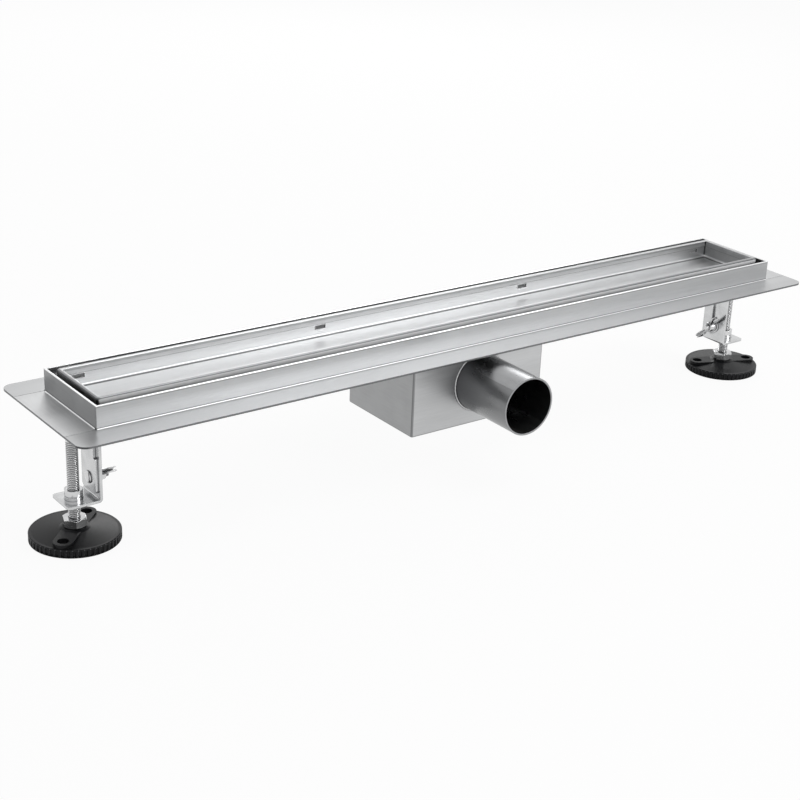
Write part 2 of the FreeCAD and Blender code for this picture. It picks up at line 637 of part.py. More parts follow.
def make_hair_strainer():
    """A shallow basket that hangs in the dip tube by its rim, with slots in wall and floor."""
    body = new_body("hair_strainer")
    top_drop = f"({TRAP_DROP} - trap_flange)"
    wall = "(dip_radius - dip_wall - strainer_slack)"
    section = [
        ("0", f"-({top_drop} + strainer_depth)"),
        (wall, f"-({top_drop} + strainer_depth)"),
        (wall, f"-{top_drop}"),
        ("strainer_rim", f"-{top_drop}"),
        ("strainer_rim", f"-({top_drop} - strainer_sheet)"),
        (f"{wall} - strainer_sheet", f"-({top_drop} - strainer_sheet)"),
        (f"{wall} - strainer_sheet", f"-({top_drop} + strainer_depth - strainer_sheet)"),
        ("0", f"-({top_drop} + strainer_depth - strainer_sheet)"),
    ]
    turned(body, "basket", loops(body, "section", "XZ_Plane", section), "Z_Axis")
    slot = loops(
        body, "slot_outline", "XY_Plane",
        rectangle("strainer_middle", f"{wall} + cut_margin", "-strainer_slot / 2", "strainer_slot / 2"),
        lift=f"-({top_drop} + strainer_depth / 2)")
    first = cut(body, "slot", slot, "strainer_depth")
    repeated(body, "slots", first, "Z_Axis", "strainer_slot_count")


# Height-adjustable foot, drawn for the left end with the screw's axis at the origin


def make_hanger(name, x, turn):
    """The plate welded under the trough's lip, which carries the clamp bolt."""
    body = new_body(name, x=x, turn=turn)
    top_drop = f"({LEDGE_DROP} + trough_sheet)"
    far = "(hanger_reach + hanger_sheet)"
    section = [
        ("hanger_reach", f"-{HANGER_DROP}"),
        (far, f"-{HANGER_DROP}"),
        (far, f"-{top_drop}"),
        (f"{far} - hanger_foot", f"-{top_drop}"),
        (f"{far} - hanger_foot", f"-({top_drop} + hanger_sheet)"),
        ("hanger_reach", f"-({top_drop} + hanger_sheet)"),
    ]
    pad(body, "fold", loops(body, "section", "XZ_Plane", section), "hanger_width", both=True)
    rounded(body, "fold_inside", "plate_bend", lambda at, way: (
        abs(way.y) > 0.9 and near(at.x, "hanger_reach") and near(at.z, f"-({top_drop} + hanger_sheet)")))
    rounded(body, "fold_outside", "plate_bend + hanger_sheet", lambda at, way: (
        abs(way.y) > 0.9 and near(at.x, far) and near(at.z, f"-{top_drop}")))
    notches = [
        rectangle(f"{side} * hanger_neck / 2", f"{side} * (hanger_width / 2 + cut_margin)",
                  "-hanger_neck_drop", "cut_margin")
        for side in (1, -1)
    ]
    cut(body, "notches", loops(body, "notch_outlines", "YZ_Plane", *notches))
    rounded(body, "lower_corners", "hanger_corner", lambda at, way: (
        abs(way.x) > 0.9 and near(at.z, f"-{HANGER_DROP}")))
    rounded(body, "shoulders", "shoulder_radius", lambda at, way: (
        abs(way.x) > 0.9 and near(at.z, "-hanger_neck_drop")))
    cut(body, "bolt_hole", circles(
        body, "hole_outline", "YZ_Plane", ("0", "-bolt_drop", "bolt_radius + bolt_slack")))


def make_bracket(name, x, turn):
    """The slotted angle that slides down the hanger and carries the foot screw."""
    body = new_body(name, x=x, turn=turn)
    under = f"({LEG_DROP} + bracket_sheet)"
    section = [
        (BRACKET_NEAR, "-bracket_top_drop"),
        (BRACKET_NEAR, f"-{LEG_DROP}"),
        ("-bracket_leg_reach", f"-{LEG_DROP}"),
        ("-bracket_leg_reach", f"-{under}"),
        (BRACKET_FAR, f"-{under}"),
        (BRACKET_FAR, "-bracket_top_drop"),
    ]
    pad(body, "fold", loops(body, "section", "XZ_Plane", section), "bracket_width", both=True)
    rounded(body, "fold_inside", "plate_bend", lambda at, way: (
        abs(way.y) > 0.9 and near(at.x, BRACKET_NEAR) and near(at.z, f"-{LEG_DROP}")))
    rounded(body, "fold_outside", "plate_bend + bracket_sheet", lambda at, way: (
        abs(way.y) > 0.9 and near(at.x, BRACKET_FAR) and near(at.z, f"-{under}")))
    rounded(body, "upper_corners", "bracket_corner", lambda at, way: (
        abs(way.x) > 0.9 and near(at.z, "-bracket_top_drop")))
    rounded(body, "leg_corners", "bracket_corner", lambda at, way: (
        abs(way.z) > 0.9 and near(at.x, "-bracket_leg_reach")))
    slot = long_round(
        body, "slot_outline", "YZ_Plane", "-bolt_drop", "bracket_travel - bolt_drop", SLOT_HALF)
    cut(body, "slot", slot)
    cut(body, "bush_hole", circles(
        body, "hole_outline", "XY_Plane", ("0", "0", "bush_spigot + weld_clearance")))


def make_bush(name, x, turn):
    """The threaded bush riveted into the bracket's leg, with a groove around it."""
    body = new_body(name, x=x, turn=turn, z=f"rim_above_floor - {LEG_DROP}")
    bore = "(screw_radius + screw_slack)"
    section = [
        (bore, "-bracket_sheet"),
        ("bush_spigot", "-bracket_sheet"),
        ("bush_spigot", "0"),
        ("bush_radius", "0"),
        ("bush_radius", "bush_groove_rise"),
        ("bush_radius - bush_groove", "bush_groove_rise"),
        ("bush_radius - bush_groove", "bush_groove_rise + bush_groove_width"),
        ("bush_radius", "bush_groove_rise + bush_groove_width"),
        ("bush_radius", "bush_rise"),
        (bore, "bush_rise"),
    ]
    turned(body, "barrel", loops(body, "section", "XZ_Plane", section), "Z_Axis")


def make_foot_screw(name, x):
    """The foot screw, with its thread left plain."""
    body = new_body(name, x=x, z="0")
    section = [
        ("0", "screw_seat"),
        ("screw_radius", "screw_seat"),
        ("screw_radius", "screw_top - screw_chamfer"),
        ("screw_radius - screw_chamfer", "screw_top"),
        ("0", "screw_top"),
    ]
    turned(body, "rod", loops(body, "section", "XZ_Plane", section), "Z_Axis")


def make_nut(name, x, turn):
    """The hexagon nut fixed at the foot of the screw."""
    body = new_body(name, x=x, z=NUT_UNDER, turn=turn)
    corner = "(nut_flats / sqrt(3))"
    hexagon = [
        (corner, "0"),
        (f"{corner} / 2", "nut_flats / 2"),
        (f"-{corner} / 2", "nut_flats / 2"),
        (f"-{corner}", "0"),
        (f"-{corner} / 2", "-nut_flats / 2"),
        (f"{corner} / 2", "-nut_flats / 2"),
    ]
    pad(body, "hexagon", loops(body, "outline", "XY_Plane", hexagon), "nut_height")
    face = "(nut_flats / 2 - nut_face_inset)"
    past = f"({corner} + cut_margin)"
    fall = f"nut_chamfer * ({past} - {face}) / ({corner} - {face})"
    bevels = [
        [(face, "nut_height"), (past, "nut_height"), (past, f"nut_height - {fall}")],
        [(face, "0"), (past, "0"), (past, fall)],
    ]
    grooved(body, "bevels", loops(body, "bevel_sections", "XZ_Plane", *bevels), "Z_Axis")
    cut(body, "bore", circles(body, "bore_outline", "XY_Plane", ("0", "0", "screw_radius + screw_slack")))


def make_pad(name, x, turn):
    """The moulded foot pad: fluted rim, cone, two ears with screw holes, pockets underneath."""
    body = new_body(name, x=x, z="0", turn=turn)
    section = [
        ("0", "0"),
        ("pad_radius", "0"),
        ("pad_radius", "pad_rim_rise - pad_rim_bevel"),
        ("pad_radius - pad_rim_bevel", "pad_rim_rise"),
        ("pad_radius - pad_rim_flat", "pad_rim_rise"),
        ("pad_cone_radius", "pad_cone_rise"),
        ("pad_hub_radius", "pad_hub_rise"),
        ("0", "pad_hub_rise"),
    ]
    turned(body, "disc", loops(body, "section", "XZ_Plane", section), "Z_Axis")
    ears = long_round(body, "ear_outline", "XY_Plane", "-ear_place", "ear_place", "ear_radius")
    pad(body, "ears", ears, "ear_rise")
    mouth = "(flute_floor / 2 + flute_flare * (flute_depth + cut_margin))"
    flute = loops(body, "flute_outline", "XY_Plane", [
        ("pad_radius - flute_depth", "-flute_floor / 2"),
        ("pad_radius + cut_margin", f"-{mouth}"),
        ("pad_radius + cut_margin", mouth),
        ("pad_radius - flute_depth", "flute_floor / 2"),
    ], lift="flute_foot")
    first_flute = cut(body, "flute", flute, "flute_height", back=True)
    repeated(body, "flutes", first_flute, "Z_Axis", "flute_count")
    pocket = loops(
        body, "pocket_section", "XZ_Plane",
        rectangle("pocket_inner", "pocket_outer", "-cut_margin", "pocket_depth"), turn=worth("pocket_turn"))
    first_pocket = grooved(body, "pocket", pocket, "Z_Axis", "pocket_angle")
    repeated(body, "pockets", first_pocket, "Z_Axis", "pocket_count")
    ear_holes = [("0", "ear_place", "ear_hole"), ("0", "-ear_place", "ear_hole")]
    cut(body, "ear_holes", circles(body, "ear_hole_outlines", "XY_Plane", *ear_holes))
    seat = circles(
        body, "seat_outline", "XY_Plane", ("0", "0", "screw_radius + screw_slack"), lift="pad_hub_rise")
    cut(body, "screw_seat_bore", seat, "pad_hub_rise - screw_seat + screw_end_gap")


# Clamp that holds the bracket on the hanger, drawn along X from the hanger's near face


def make_clamp_bolt(name, x, turn):
    body = new_body(name, x=x, turn=turn, z="rim_above_floor - bolt_drop")
    end = f"({WING_NEAR} + wing_hub_length + bolt_end)"
    section = [
        ("hanger_reach - bolt_head", "0"),
        ("hanger_reach - bolt_head", "bolt_head_radius"),
        ("hanger_reach", "bolt_head_radius"),
        ("hanger_reach", "bolt_radius"),
        (end, "bolt_radius"),
        (end, "0"),
    ]
    turned(body, "bolt", loops(body, "section", "XZ_Plane", section), "X_Axis")


def make_washer(name, x, turn):
    body = new_body(name, x=x, turn=turn, z="rim_above_floor - bolt_drop")
    section = rectangle(
        WASHER_NEAR, f"{WASHER_NEAR} + washer_thickness", "bolt_radius + bolt_slack", "washer_radius")
    turned(body, "ring", loops(body, "section", "XZ_Plane", section), "X_Axis")


def make_wing_nut(name, x, turn, tilt):
    """The wing nut: a tapered hub with two wings that lean away from the plate."""
    body = new_body(name, x=x, turn=turn, z="rim_above_floor - bolt_drop")
    level = FreeCAD.Rotation(FreeCAD.Vector(0, 0, 1), turn)
    body.Placement.Rotation = level.multiply(FreeCAD.Rotation(FreeCAD.Vector(1, 0, 0), tilt))
    end = f"({WING_NEAR} + wing_hub_length)"
    bore = "(bolt_radius + bolt_slack)"
    hub = [
        (WING_NEAR, "0"),
        (WING_NEAR, "wing_hub_radius"),
        (end, "wing_hub_radius - wing_hub_taper"),
        (end, "0"),
    ]
    turned(body, "hub", loops(body, "hub_section", "XZ_Plane", hub), "X_Axis")
    wing = [
        (f"{WING_NEAR} + wing_foot", bore),
        (f"{WING_NEAR} + wing_foot", "wing_hub_radius"),
        (f"{WING_NEAR} + wing_rise - wing_height", "wing_span / 2"),
        (f"{WING_NEAR} + wing_rise", "wing_span / 2"),
        (f"{WING_NEAR} + wing_rise", "wing_span / 2 - wing_crest"),
        (f"{end} - wing_shoulder", "wing_hub_radius"),
        (f"{end} - wing_shoulder", bore),
    ]
    first = pad(body, "wing", loops(body, "wing_outline", "XZ_Plane", wing), "wing_thickness", both=True)
    repeated(body, "wings", first, "X_Axis", "wing_count")
    rounded(body, "wing_tips", "wing_tip", lambda at, way: (
        abs(way.y) > 0.9 and near(abs(at.z), "wing_span / 2")))
    cut(body, "bore", circles(body, "bore_outline", "YZ_Plane", ("0", "0", bore)))


make_frame_side("frame_front", 0)
make_frame_side("frame_back", 180)
make_frame_end("frame_left_end", 0)
make_frame_end("frame_right_end", 180)
make_tile_tray()
make_tray_rests()
make_trough()
make_sump_box()
make_outlet_stub()
make_trap_insert()
make_trap_seal()
make_trap_cup()
make_hair_strainer()

for side, place, half_turn, wing_way in (
    ("left", f"-({HALF_LENGTH})", 0, 1),
    ("right", HALF_LENGTH, 180, -1),
):
    make_hanger(f"{side}_hanger", place, half_turn)
    make_bracket(f"{side}_bracket", place, half_turn)
    make_bush(f"{side}_bush", place, half_turn)
    make_foot_screw(f"{side}_foot_screw", place)
    make_nut(f"{side}_screw_nut", place, worth(f"{side}_nut_turn"))
    make_pad(f"{side}_foot_pad", place, worth(f"{side}_pad_turn"))
    make_clamp_bolt(f"{side}_clamp_bolt", place, half_turn)
    make_washer(f"{side}_washer", place, half_turn)
    make_wing_nut(f"{side}_wing_nut", place, half_turn, wing_way * worth(f"{side}_wing_turn"))

doc.recompute()
failed = [piece.Label for piece in doc.Objects if {"Invalid", "Error"} & set(piece.State)]
failed += [body.Label for body in PARTS if body.Shape.isNull() or not body.Shape.isValid()]
if failed:
    raise RuntimeError(f"these did not build: {failed}")

os.makedirs("parts", exist_ok=True)
for body in PARTS:
    body.Shape.exportStep(f"parts/{body.Label}.step")
    print(body.Label, len(body.Shape.Solids), round(body.Shape.Volume, 1))
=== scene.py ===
import math

import bmesh
import bpy
from mathutils import Matrix, Vector


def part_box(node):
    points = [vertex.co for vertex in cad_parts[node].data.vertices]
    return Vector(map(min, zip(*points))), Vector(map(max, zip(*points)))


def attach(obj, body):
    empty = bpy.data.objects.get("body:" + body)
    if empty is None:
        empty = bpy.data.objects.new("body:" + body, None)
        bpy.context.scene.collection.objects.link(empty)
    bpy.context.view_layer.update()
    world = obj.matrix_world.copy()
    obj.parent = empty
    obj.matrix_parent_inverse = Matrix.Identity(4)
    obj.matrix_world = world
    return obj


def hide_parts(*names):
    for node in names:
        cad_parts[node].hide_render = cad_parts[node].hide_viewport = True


# A linear shower drain on two feet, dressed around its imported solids.
# Lengths are in metres, X along the drain, Y to its back, Z up from the floor.

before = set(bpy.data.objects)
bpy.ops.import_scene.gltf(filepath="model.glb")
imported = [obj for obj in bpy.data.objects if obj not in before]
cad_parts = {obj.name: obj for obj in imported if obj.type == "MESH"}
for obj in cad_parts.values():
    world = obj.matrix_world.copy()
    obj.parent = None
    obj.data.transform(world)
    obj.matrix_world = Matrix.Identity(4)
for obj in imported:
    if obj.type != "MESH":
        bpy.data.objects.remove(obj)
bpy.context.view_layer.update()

MM = 0.001
WAYS = {"left": 1, "right": -1}  # from each foot towards the drain's middle


# Places on the drain


def box_middle(name):
    """The middle of a solid's box."""
    low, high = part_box(name)
    return (low + high) / 2


def box_width(name):
    """How far a solid reaches along X."""
    low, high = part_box(name)
    return high.x - low.x


def outer_end(name, side):
    """Where along X the solid of a foot ends, away from the drain's middle."""
    low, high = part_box(name)
    return low.x if WAYS[side] > 0 else high.x


SHEET = 1.2 * MM
TRAY_PROUD = 2 * MM  # how far the tray stands above the rim
TRAY_DEPTH = 17.2 * MM  # from the tray's top down to its floor
HEM_DEPTH = 6 * MM  # how far the hem's inner sheet reaches down
RIM_HEIGHT = 18 * MM  # from the flange up to the rim's top
FLANGE_WIDTH = 25 * MM
FLUTES = 50
ABOVE_ALL = 1  # a height above every point of the drain

TRAY_LOW, TRAY_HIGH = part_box("tile_tray")
TRAY_MIDDLE = box_middle("tile_tray")
TRAY_HALF = (TRAY_HIGH - TRAY_LOW) / 2
TRAY_TOP = TRAY_HIGH.z
RIM_TOP = TRAY_TOP - TRAY_PROUD
RIM_INSIDE = TRAY_MIDDLE.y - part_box("frame_front")[1].y
FLANGE_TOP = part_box("frame_front")[1].z - RIM_HEIGHT
SUMP_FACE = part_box("sump_box")[0].y
PAD_REACH = box_middle("right_foot_pad").x
PAD_RADIUS = box_width("right_foot_pad") / 2


# Short ways to make nodes

NOISE_RANGE = (0.3, 0.7)  # where most of a noise's values lie


def put(tree, kind, inputs=(), **settings):
    """A node of a kind, with its settings, and each input given as a value or another node's output."""
    node = tree.nodes.new(f"ShaderNode{kind}")
    for word, value in settings.items():
        setattr(node, word, value)
    for place, value in dict(inputs).items():
        if isinstance(value, bpy.types.NodeSocket):
            tree.links.new(value, node.inputs[place])
        else:
            node.inputs[place].default_value = value
    return node


def worked_out(tree, operation, *values):
    """The result of a sum, a product or another operation of a math node."""
    return put(tree, "Math", enumerate(values), operation=operation).outputs[0]


def between(tree, value, low, high, new_low, new_high):
    """The value, moved from one range to another and kept inside it."""
    node = put(tree, "MapRange", {"Value": value, "From Min": low, "From Max": high,
                                  "To Min": new_low, "To Max": new_high})
    return node.outputs["Result"]


def within(tree, value, low, high, fade=0.2 * MM):
    """1 where the value lies between two others, with soft ends."""
    starts = between(tree, value, low - fade, low + fade, 0, 1)
    stops = between(tree, value, high - fade, high + fade, 1, 0)
    return worked_out(tree, "MULTIPLY", starts, stops)


def stretched(tree, at, factors):
    """A place with each of its parts multiplied by a factor."""
    return put(tree, "VectorMath", {0: at, 1: factors}, operation="MULTIPLY").outputs[0]


def layered(tree, amount, under, over):
    """One colour laid over another where the mask says so."""
    under, over = (
        shade if isinstance(shade, bpy.types.NodeSocket) else (*shade, 1) for shade in (under, over))
    return put(tree, "Mix", {0: amount, 6: under, 7: over}, data_type="RGBA").outputs[2]


# Camera, at the photograph's place

CAMERA_PLACE = (-0.8292, -1.0211, 0.5872)
CAMERA_YAW = 0.6658
CAMERA_PITCH = 0.4023
CAMERA_ROLL = 0.0508
LENS = 74.49
LENS_SHIFT = (-0.04224, 0.02356)


def set_up_camera():
    """The camera that the photograph was taken with, as its corners and edges give it."""
    level = Matrix(((1, 0, 0), (0, 0, -1), (0, 1, 0)))
    aimed = Matrix.Rotation(CAMERA_PITCH, 3, "X") @ level @ Matrix.Rotation(CAMERA_YAW, 3, "Z")
    right, down, ahead = Matrix.Rotation(CAMERA_ROLL, 3, "Z") @ aimed
    lens = bpy.data.cameras.new("camera")
    lens.lens = LENS
    lens.sensor_width = 36
    lens.shift_x, lens.shift_y = LENS_SHIFT
    lens.clip_start = 0.01
    camera = bpy.data.objects.new("camera", lens)
    axes = Matrix((right, -down, -ahead)).transposed()
    camera.matrix_world = Matrix.Translation(CAMERA_PLACE) @ axes.to_4x4()
    bpy.context.scene.collection.objects.link(camera)
    bpy.context.scene.camera = camera


# Studio: a white floor and backdrop, a soft sky and three softboxes

WHITE = (1, 1, 1, 1)
FLOOR_PAINT = (0.9, 0.9, 0.9, 1)
SKY_LIGHT = 0.55
BACKDROP_LIGHT = 1.0
FLOOR_GLOW = 0.93  # the share of the floor that shines by itself where it's seen
FLOOR_RADIUS = 9


def softbox(name, place, aim, width, height, watts):
    """A rectangular lamp that faces a point of the drain."""
    lamp = bpy.data.lights.new(name, "AREA")
    lamp.shape = "RECTANGLE"
    lamp.size, lamp.size_y = width, height
    lamp.energy = watts
    box = bpy.data.objects.new(name, lamp)
    box.location = place
    box.rotation_euler = (Vector(aim) - Vector(place)).to_track_quat("-Z", "Y").to_euler()
    bpy.context.scene.collection.objects.link(box)


def seen_or_mirrored(tree):
    """1 for the rays that the camera, a mirror or clear glass sends out."""
    path = put(tree, "LightPath").outputs
    either = worked_out(tree, "MAXIMUM", path["Is Camera Ray"], path["Is Glossy Ray"])
    return worked_out(tree, "MAXIMUM", either, path["Is Transmission Ray"])


def make_sky():
    """A soft even sky, with a white backdrop where it's seen."""
    world = bpy.data.worlds.new("studio")
    world.use_nodes = True
    tree = world.node_tree
    sky = tree.nodes["Background"]
    sky.inputs["Color"].default_value = WHITE
    sky.inputs["Strength"].default_value = SKY_LIGHT
    backdrop = put(tree, "Background", {"Color": WHITE, "Strength": BACKDROP_LIGHT})
    either = put(tree, "MixShader", {0: seen_or_mirrored(tree), 1: sky.outputs[0], 2: backdrop.outputs[0]})
    tree.links.new(either.outputs[0], tree.nodes["World Output"].inputs["Surface"])
    bpy.context.scene.world = world


def make_floor():
    """A white floor that keeps the drain's shadow."""
    shape = bmesh.new()
    bmesh.ops.create_circle(shape, cap_ends=True, segments=64, radius=FLOOR_RADIUS)
    mesh = bpy.data.meshes.new("floor")
    shape.to_mesh(mesh)
    shape.free()
    paint = bpy.data.materials.new("floor_white")
    paint.use_nodes = True
    tree = paint.node_tree
    tree.nodes.clear()
    matt = put(tree, "BsdfDiffuse", {"Color": FLOOR_PAINT})
    glow = put(tree, "Emission", {"Color": WHITE, "Strength": 1.0})
    share = worked_out(tree, "MULTIPLY", seen_or_mirrored(tree), FLOOR_GLOW)
    either = put(tree, "MixShader", {0: share, 1: matt.outputs[0], 2: glow.outputs[0]})
    put(tree, "OutputMaterial", {"Surface": either.outputs[0]})
    mesh.materials.append(paint)
    floor = bpy.data.objects.new("floor", mesh)
    bpy.context.scene.collection.objects.link(floor)


def set_up_studio():
    """The sky, the floor and the softboxes round the drain."""
    make_sky()
    make_floor()
    softbox("front_softbox", (1.18, -2.02, 1.05), (-0.1, 0, 0.1), 1.1, 0.8, 18)
    softbox("back_softbox", (1.2, 1.82, 0.97), (0, 0, 0.1), 1.0, 0.7, 9)
    softbox("top_softbox", (0.9, -0.6, 2.2), (0, 0, 0.1), 1.2, 0.9, 10)


# Effects that several finishes share, each a group that is built once

CLOUDS = (3, 40, 40)  # how fine the clouds of a brushed sheet are along X, Y and Z
ROLLING = (900, 900, 90)  # how fine the rolling marks of a plate are
FLOW = 45  # how fine the flow marks of a moulding are


def new_group(name, takes, gives):
    """A node group with its own sockets. The sockets come as name, kind and value."""
    group = bpy.data.node_groups.new(name, "ShaderNodeTree")
    for word, kind, value in takes:
        socket = group.interface.new_socket(word, in_out="INPUT", socket_type=f"NodeSocket{kind}")
        socket.default_value = value
    for word, kind in gives:
        group.interface.new_socket(word, in_out="OUTPUT", socket_type=f"NodeSocket{kind}")
    return group, group.nodes.new("NodeGroupInput"), group.nodes.new("NodeGroupOutput")


def make_brush_group():
    """Brushed lines of a sheet, with softer clouds where the belt pressed harder, and masks of
    the faces that lie across the drain, of the sheet's bends and of how far a face looks up."""
    group, take, give = new_group(
        "brushed_lines",
        (("Grain", "Vector", (12, 1500, 1500)), ("End Grain", "Vector", (1500, 1500, 12))),
        (("Line", "Float"), ("Cloud", "Float"), ("Across", "Float"), ("Bend", "Float"), ("Up", "Float")))
    at = put(group, "TexCoord").outputs["Object"]
    facing = put(group, "NewGeometry").outputs["Normal"]
    turn = put(group, "SeparateXYZ", {0: facing})
    sizes = [worked_out(group, "ABSOLUTE", turn.outputs[way]) for way in range(3)]
    at_end = worked_out(group, "GREATER_THAN", sizes[0], 0.7)
    largest = worked_out(group, "MAXIMUM", sizes[0], sizes[1])
    largest = worked_out(group, "MAXIMUM", largest, sizes[2])
    lines = []
    for grain in ("Grain", "End Grain"):
        noise = put(group, "TexNoise", {
            "Vector": stretched(group, at, take.outputs[grain]), "Scale": 1, "Detail": 3, "Roughness": 0.6})
        lines.append(noise.outputs["Fac"])
    line = put(group, "Mix", {0: at_end, 2: lines[0], 3: lines[1]}).outputs[0]
    wide = stretched(group, at, CLOUDS)
    cloud = put(group, "TexNoise", {"Vector": wide, "Scale": 1, "Detail": 2}).outputs["Fac"]
    group.links.new(line, give.inputs["Line"])
    group.links.new(between(group, cloud, *NOISE_RANGE, 0, 1), give.inputs["Cloud"])
    group.links.new(at_end, give.inputs["Across"])
    group.links.new(between(group, largest, 0.99, 0.95, 0, 1), give.inputs["Bend"])
    group.links.new(sizes[2], give.inputs["Up"])
    return group


def make_edge_group():
    """1 along the edges of a sheet or plate, 0 on its faces, and a normal that rounds the edges."""
    group, take, give = new_group(
        "soft_edges", (("Radius", "Float", 0.4 * MM),), (("Edge", "Float"), ("Rounded", "Vector")))
    soft = put(group, "Bevel", {"Radius": take.outputs["Radius"]}, samples=4)
    flat = put(group, "NewGeometry").outputs["Normal"]
    same = put(group, "VectorMath", {0: soft.outputs[0], 1: flat}, operation="DOT_PRODUCT").outputs["Value"]
    group.links.new(between(group, same, 0.98, 0.75, 0, 1), give.inputs["Edge"])
    group.links.new(soft.outputs[0], give.inputs["Rounded"])
    return group


def make_fold_group():
    """1 deep in a fold, groove or joint, and 0 in the open: the mask of painted shade."""
    group, take, give = new_group("deep_folds", (("Depth", "Float", 2 * MM),), (("Fold", "Float"),))
    open_air = put(group, "AmbientOcclusion", {"Distance": take.outputs["Depth"]}, samples=8)
    group.links.new(between(group, open_air.outputs["AO"], 0.9, 0.5, 0, 1), give.inputs["Fold"])
    return group


def make_bloom_group():
    """The slightly uneven shine of bright plating, with fine rolling marks under it."""
    group, take, give = new_group(
        "plated_bloom", (("Spread", "Float", 90.0),), (("Bloom", "Float"), ("Marks", "Float")))
    at = put(group, "TexCoord").outputs["Object"]
    bloom = put(group, "TexNoise", {"Vector": at, "Scale": take.outputs["Spread"], "Detail": 3})
    rolled = stretched(group, at, ROLLING)
    marks = put(group, "TexNoise", {"Vector": rolled, "Scale": 1, "Detail": 2})
    group.links.new(between(group, bloom.outputs["Fac"], *NOISE_RANGE, 0, 1), give.inputs["Bloom"])
    group.links.new(marks.outputs["Fac"], give.inputs["Marks"])
    return group


def make_mould_group():
    """The fine grain of a moulded surface, with faint flow marks."""
    group, take, give = new_group(
        "moulded_grain", (("Fineness", "Float", 2200.0),), (("Grain", "Float"), ("Flow", "Float")))
    at = put(group, "TexCoord").outputs["Object"]
    grain = put(group, "TexNoise", {"Vector": at, "Scale": take.outputs["Fineness"], "Detail": 2})
    flow = put(group, "TexNoise", {"Vector": at, "Scale": FLOW, "Detail": 3, "Distortion": 0.6})
    group.links.new(grain.outputs["Fac"], give.inputs["Grain"])
    group.links.new(between(group, flow.outputs["Fac"], *NOISE_RANGE, 0, 1), give.inputs["Flow"])
    return group


BRUSH = make_brush_group()
EDGES = make_edge_group()
FOLDS = make_fold_group()
BLOOM = make_bloom_group()
MOULD = make_mould_group()


def placed(tree, group, **inputs):
    """A shared group in a material, with that material's own values."""
    node = tree.nodes.new("ShaderNodeGroup")
    node.node_tree = group
    for word, value in inputs.items():
        node.inputs[word.replace("_", " ")].default_value = value
    return node


def deep_in(tree, depth):
    """1 deep in the folds and grooves of a piece."""
    return placed(tree, FOLDS, Depth=depth).outputs["Fold"]


# Colours that lie on parts of a piece: painted highlights, painted light and painted shade

# painted highlight along the rim's top edge
TOP_EDGE_HIGHLIGHT = (0.8, 0.805, 0.81)
# painted shade along the cut edges of a sheet
SIDE_EDGE_SHADE = (0.1, 0.102, 0.106)
# painted shade deep in folds and grooves
FOLD_SHADE = (0.12, 0.123, 0.128)
# painted highlight on the flatter part of a bend
BEND_HIGHLIGHT = (0.85, 0.855, 0.86)
# painted shade on the steeper part of a bend
BEND_SHADE = (0.08, 0.082, 0.085)
CUT_SHADE = (0.17, 0.173, 0.178)
# painted shade on the tube near its weld
WELD_SHADE = (0.13, 0.132, 0.137)
# painted light on matt faces that the belt doesn't reach
UNBRUSHED_LIT_TONE = (0.72, 0.725, 0.73)
# painted shade on the tray's rolled hem
HEM_SHADED_TONES = ((0.4, 0.405, 0.41), (0.48, 0.485, 0.49))
# painted shade on the bends of the hem
HEM_BEND_SHADE = (0.28, 0.283, 0.29)
# painted highlight along the hem's inner edge
HEM_HIGHLIGHT = (0.54, 0.545, 0.55)
LIP_SHADE = (0.2, 0.203, 0.208)
# painted highlight on the tray's bends
TRAY_BEND_HIGHLIGHT = (0.6, 0.605, 0.61)
# painted highlight along the foot of the tray's walls
FOOT_HIGHLIGHT = (0.68, 0.685, 0.69)
CORNER_SHADE = (0.13, 0.132, 0.136)
# painted shade, near black, on the tray's cut edges, folds and slots
SLOT_SHADE = (0.015, 0.0155, 0.0165)
RIM_SHADE = (0.26, 0.263, 0.268)
# painted light on the flat faces of the frame's long sides
LONG_FLANGE_LIT = ((0.45, 0.455, 0.46), (0.54, 0.545, 0.55))
# painted light on the flat faces of the frame's ends
END_FLANGE_LIT = ((0.5, 0.505, 0.51), (0.6, 0.605, 0.61))
# painted highlight along the lands between a pad's flutes
LAND_HIGHLIGHT = (0.09, 0.092, 0.097)
# painted highlight along the edges of zinc parts
ZINC_EDGE_HIGHLIGHT = (0.8, 0.8, 0.81)


# Masks: which part of a piece such a colour lies on


def off_middle(tree):
    """How far a point lies from the drain's middle, along X and Y, and its height."""
    at = put(tree, "TexCoord").outputs["Object"]
    moved = put(tree, "VectorMath", {0: at, 1: (*TRAY_MIDDLE.xy, 0)}, operation="SUBTRACT").outputs[0]
    parts = put(tree, "SeparateXYZ", {0: moved}).outputs
    along, aside = (worked_out(tree, "ABSOLUTE", parts[way]) for way in range(2))
    return along, aside, parts[2]


def tray_sides(tree):
    """1 under the roll on the tray's long outer sides, fading down into the gap: where painted light lies on
    matt steel.
    """
    _, aside, height = off_middle(tree)
    outside = between(tree, aside, TRAY_HALF.y - 0.4 * MM, TRAY_HALF.y - 0.2 * MM, 0, 1)
    under_roll = between(tree, height, TRAY_TOP - 1.9 * MM, TRAY_TOP - 1.2 * MM, 1, 0)
    out_of_gap = between(tree, height, TRAY_TOP - 5.5 * MM, TRAY_TOP - 2.5 * MM, 0, 1)
    upper = worked_out(tree, "MULTIPLY", under_roll, out_of_gap)
    return worked_out(tree, "MULTIPLY", outside, upper)


def tray_hem(tree):
    """1 on the tray's rolled hem."""
    return between(tree, off_middle(tree)[2], TRAY_TOP - 3 * MM, TRAY_TOP - 2.7 * MM, 0, 1)


def hem_lip(tree):
    """1 on the line where the hem's inner sheet ends above the tray's wall."""
    height = off_middle(tree)[2]
    lip = TRAY_TOP - HEM_DEPTH
    above = between(tree, height, lip - 0.5 * MM, lip - 0.3 * MM, 0, 1)
    below = between(tree, height, lip + 0.1 * MM, lip + 0.3 * MM, 1, 0)
    return worked_out(tree, "MULTIPLY", above, below)


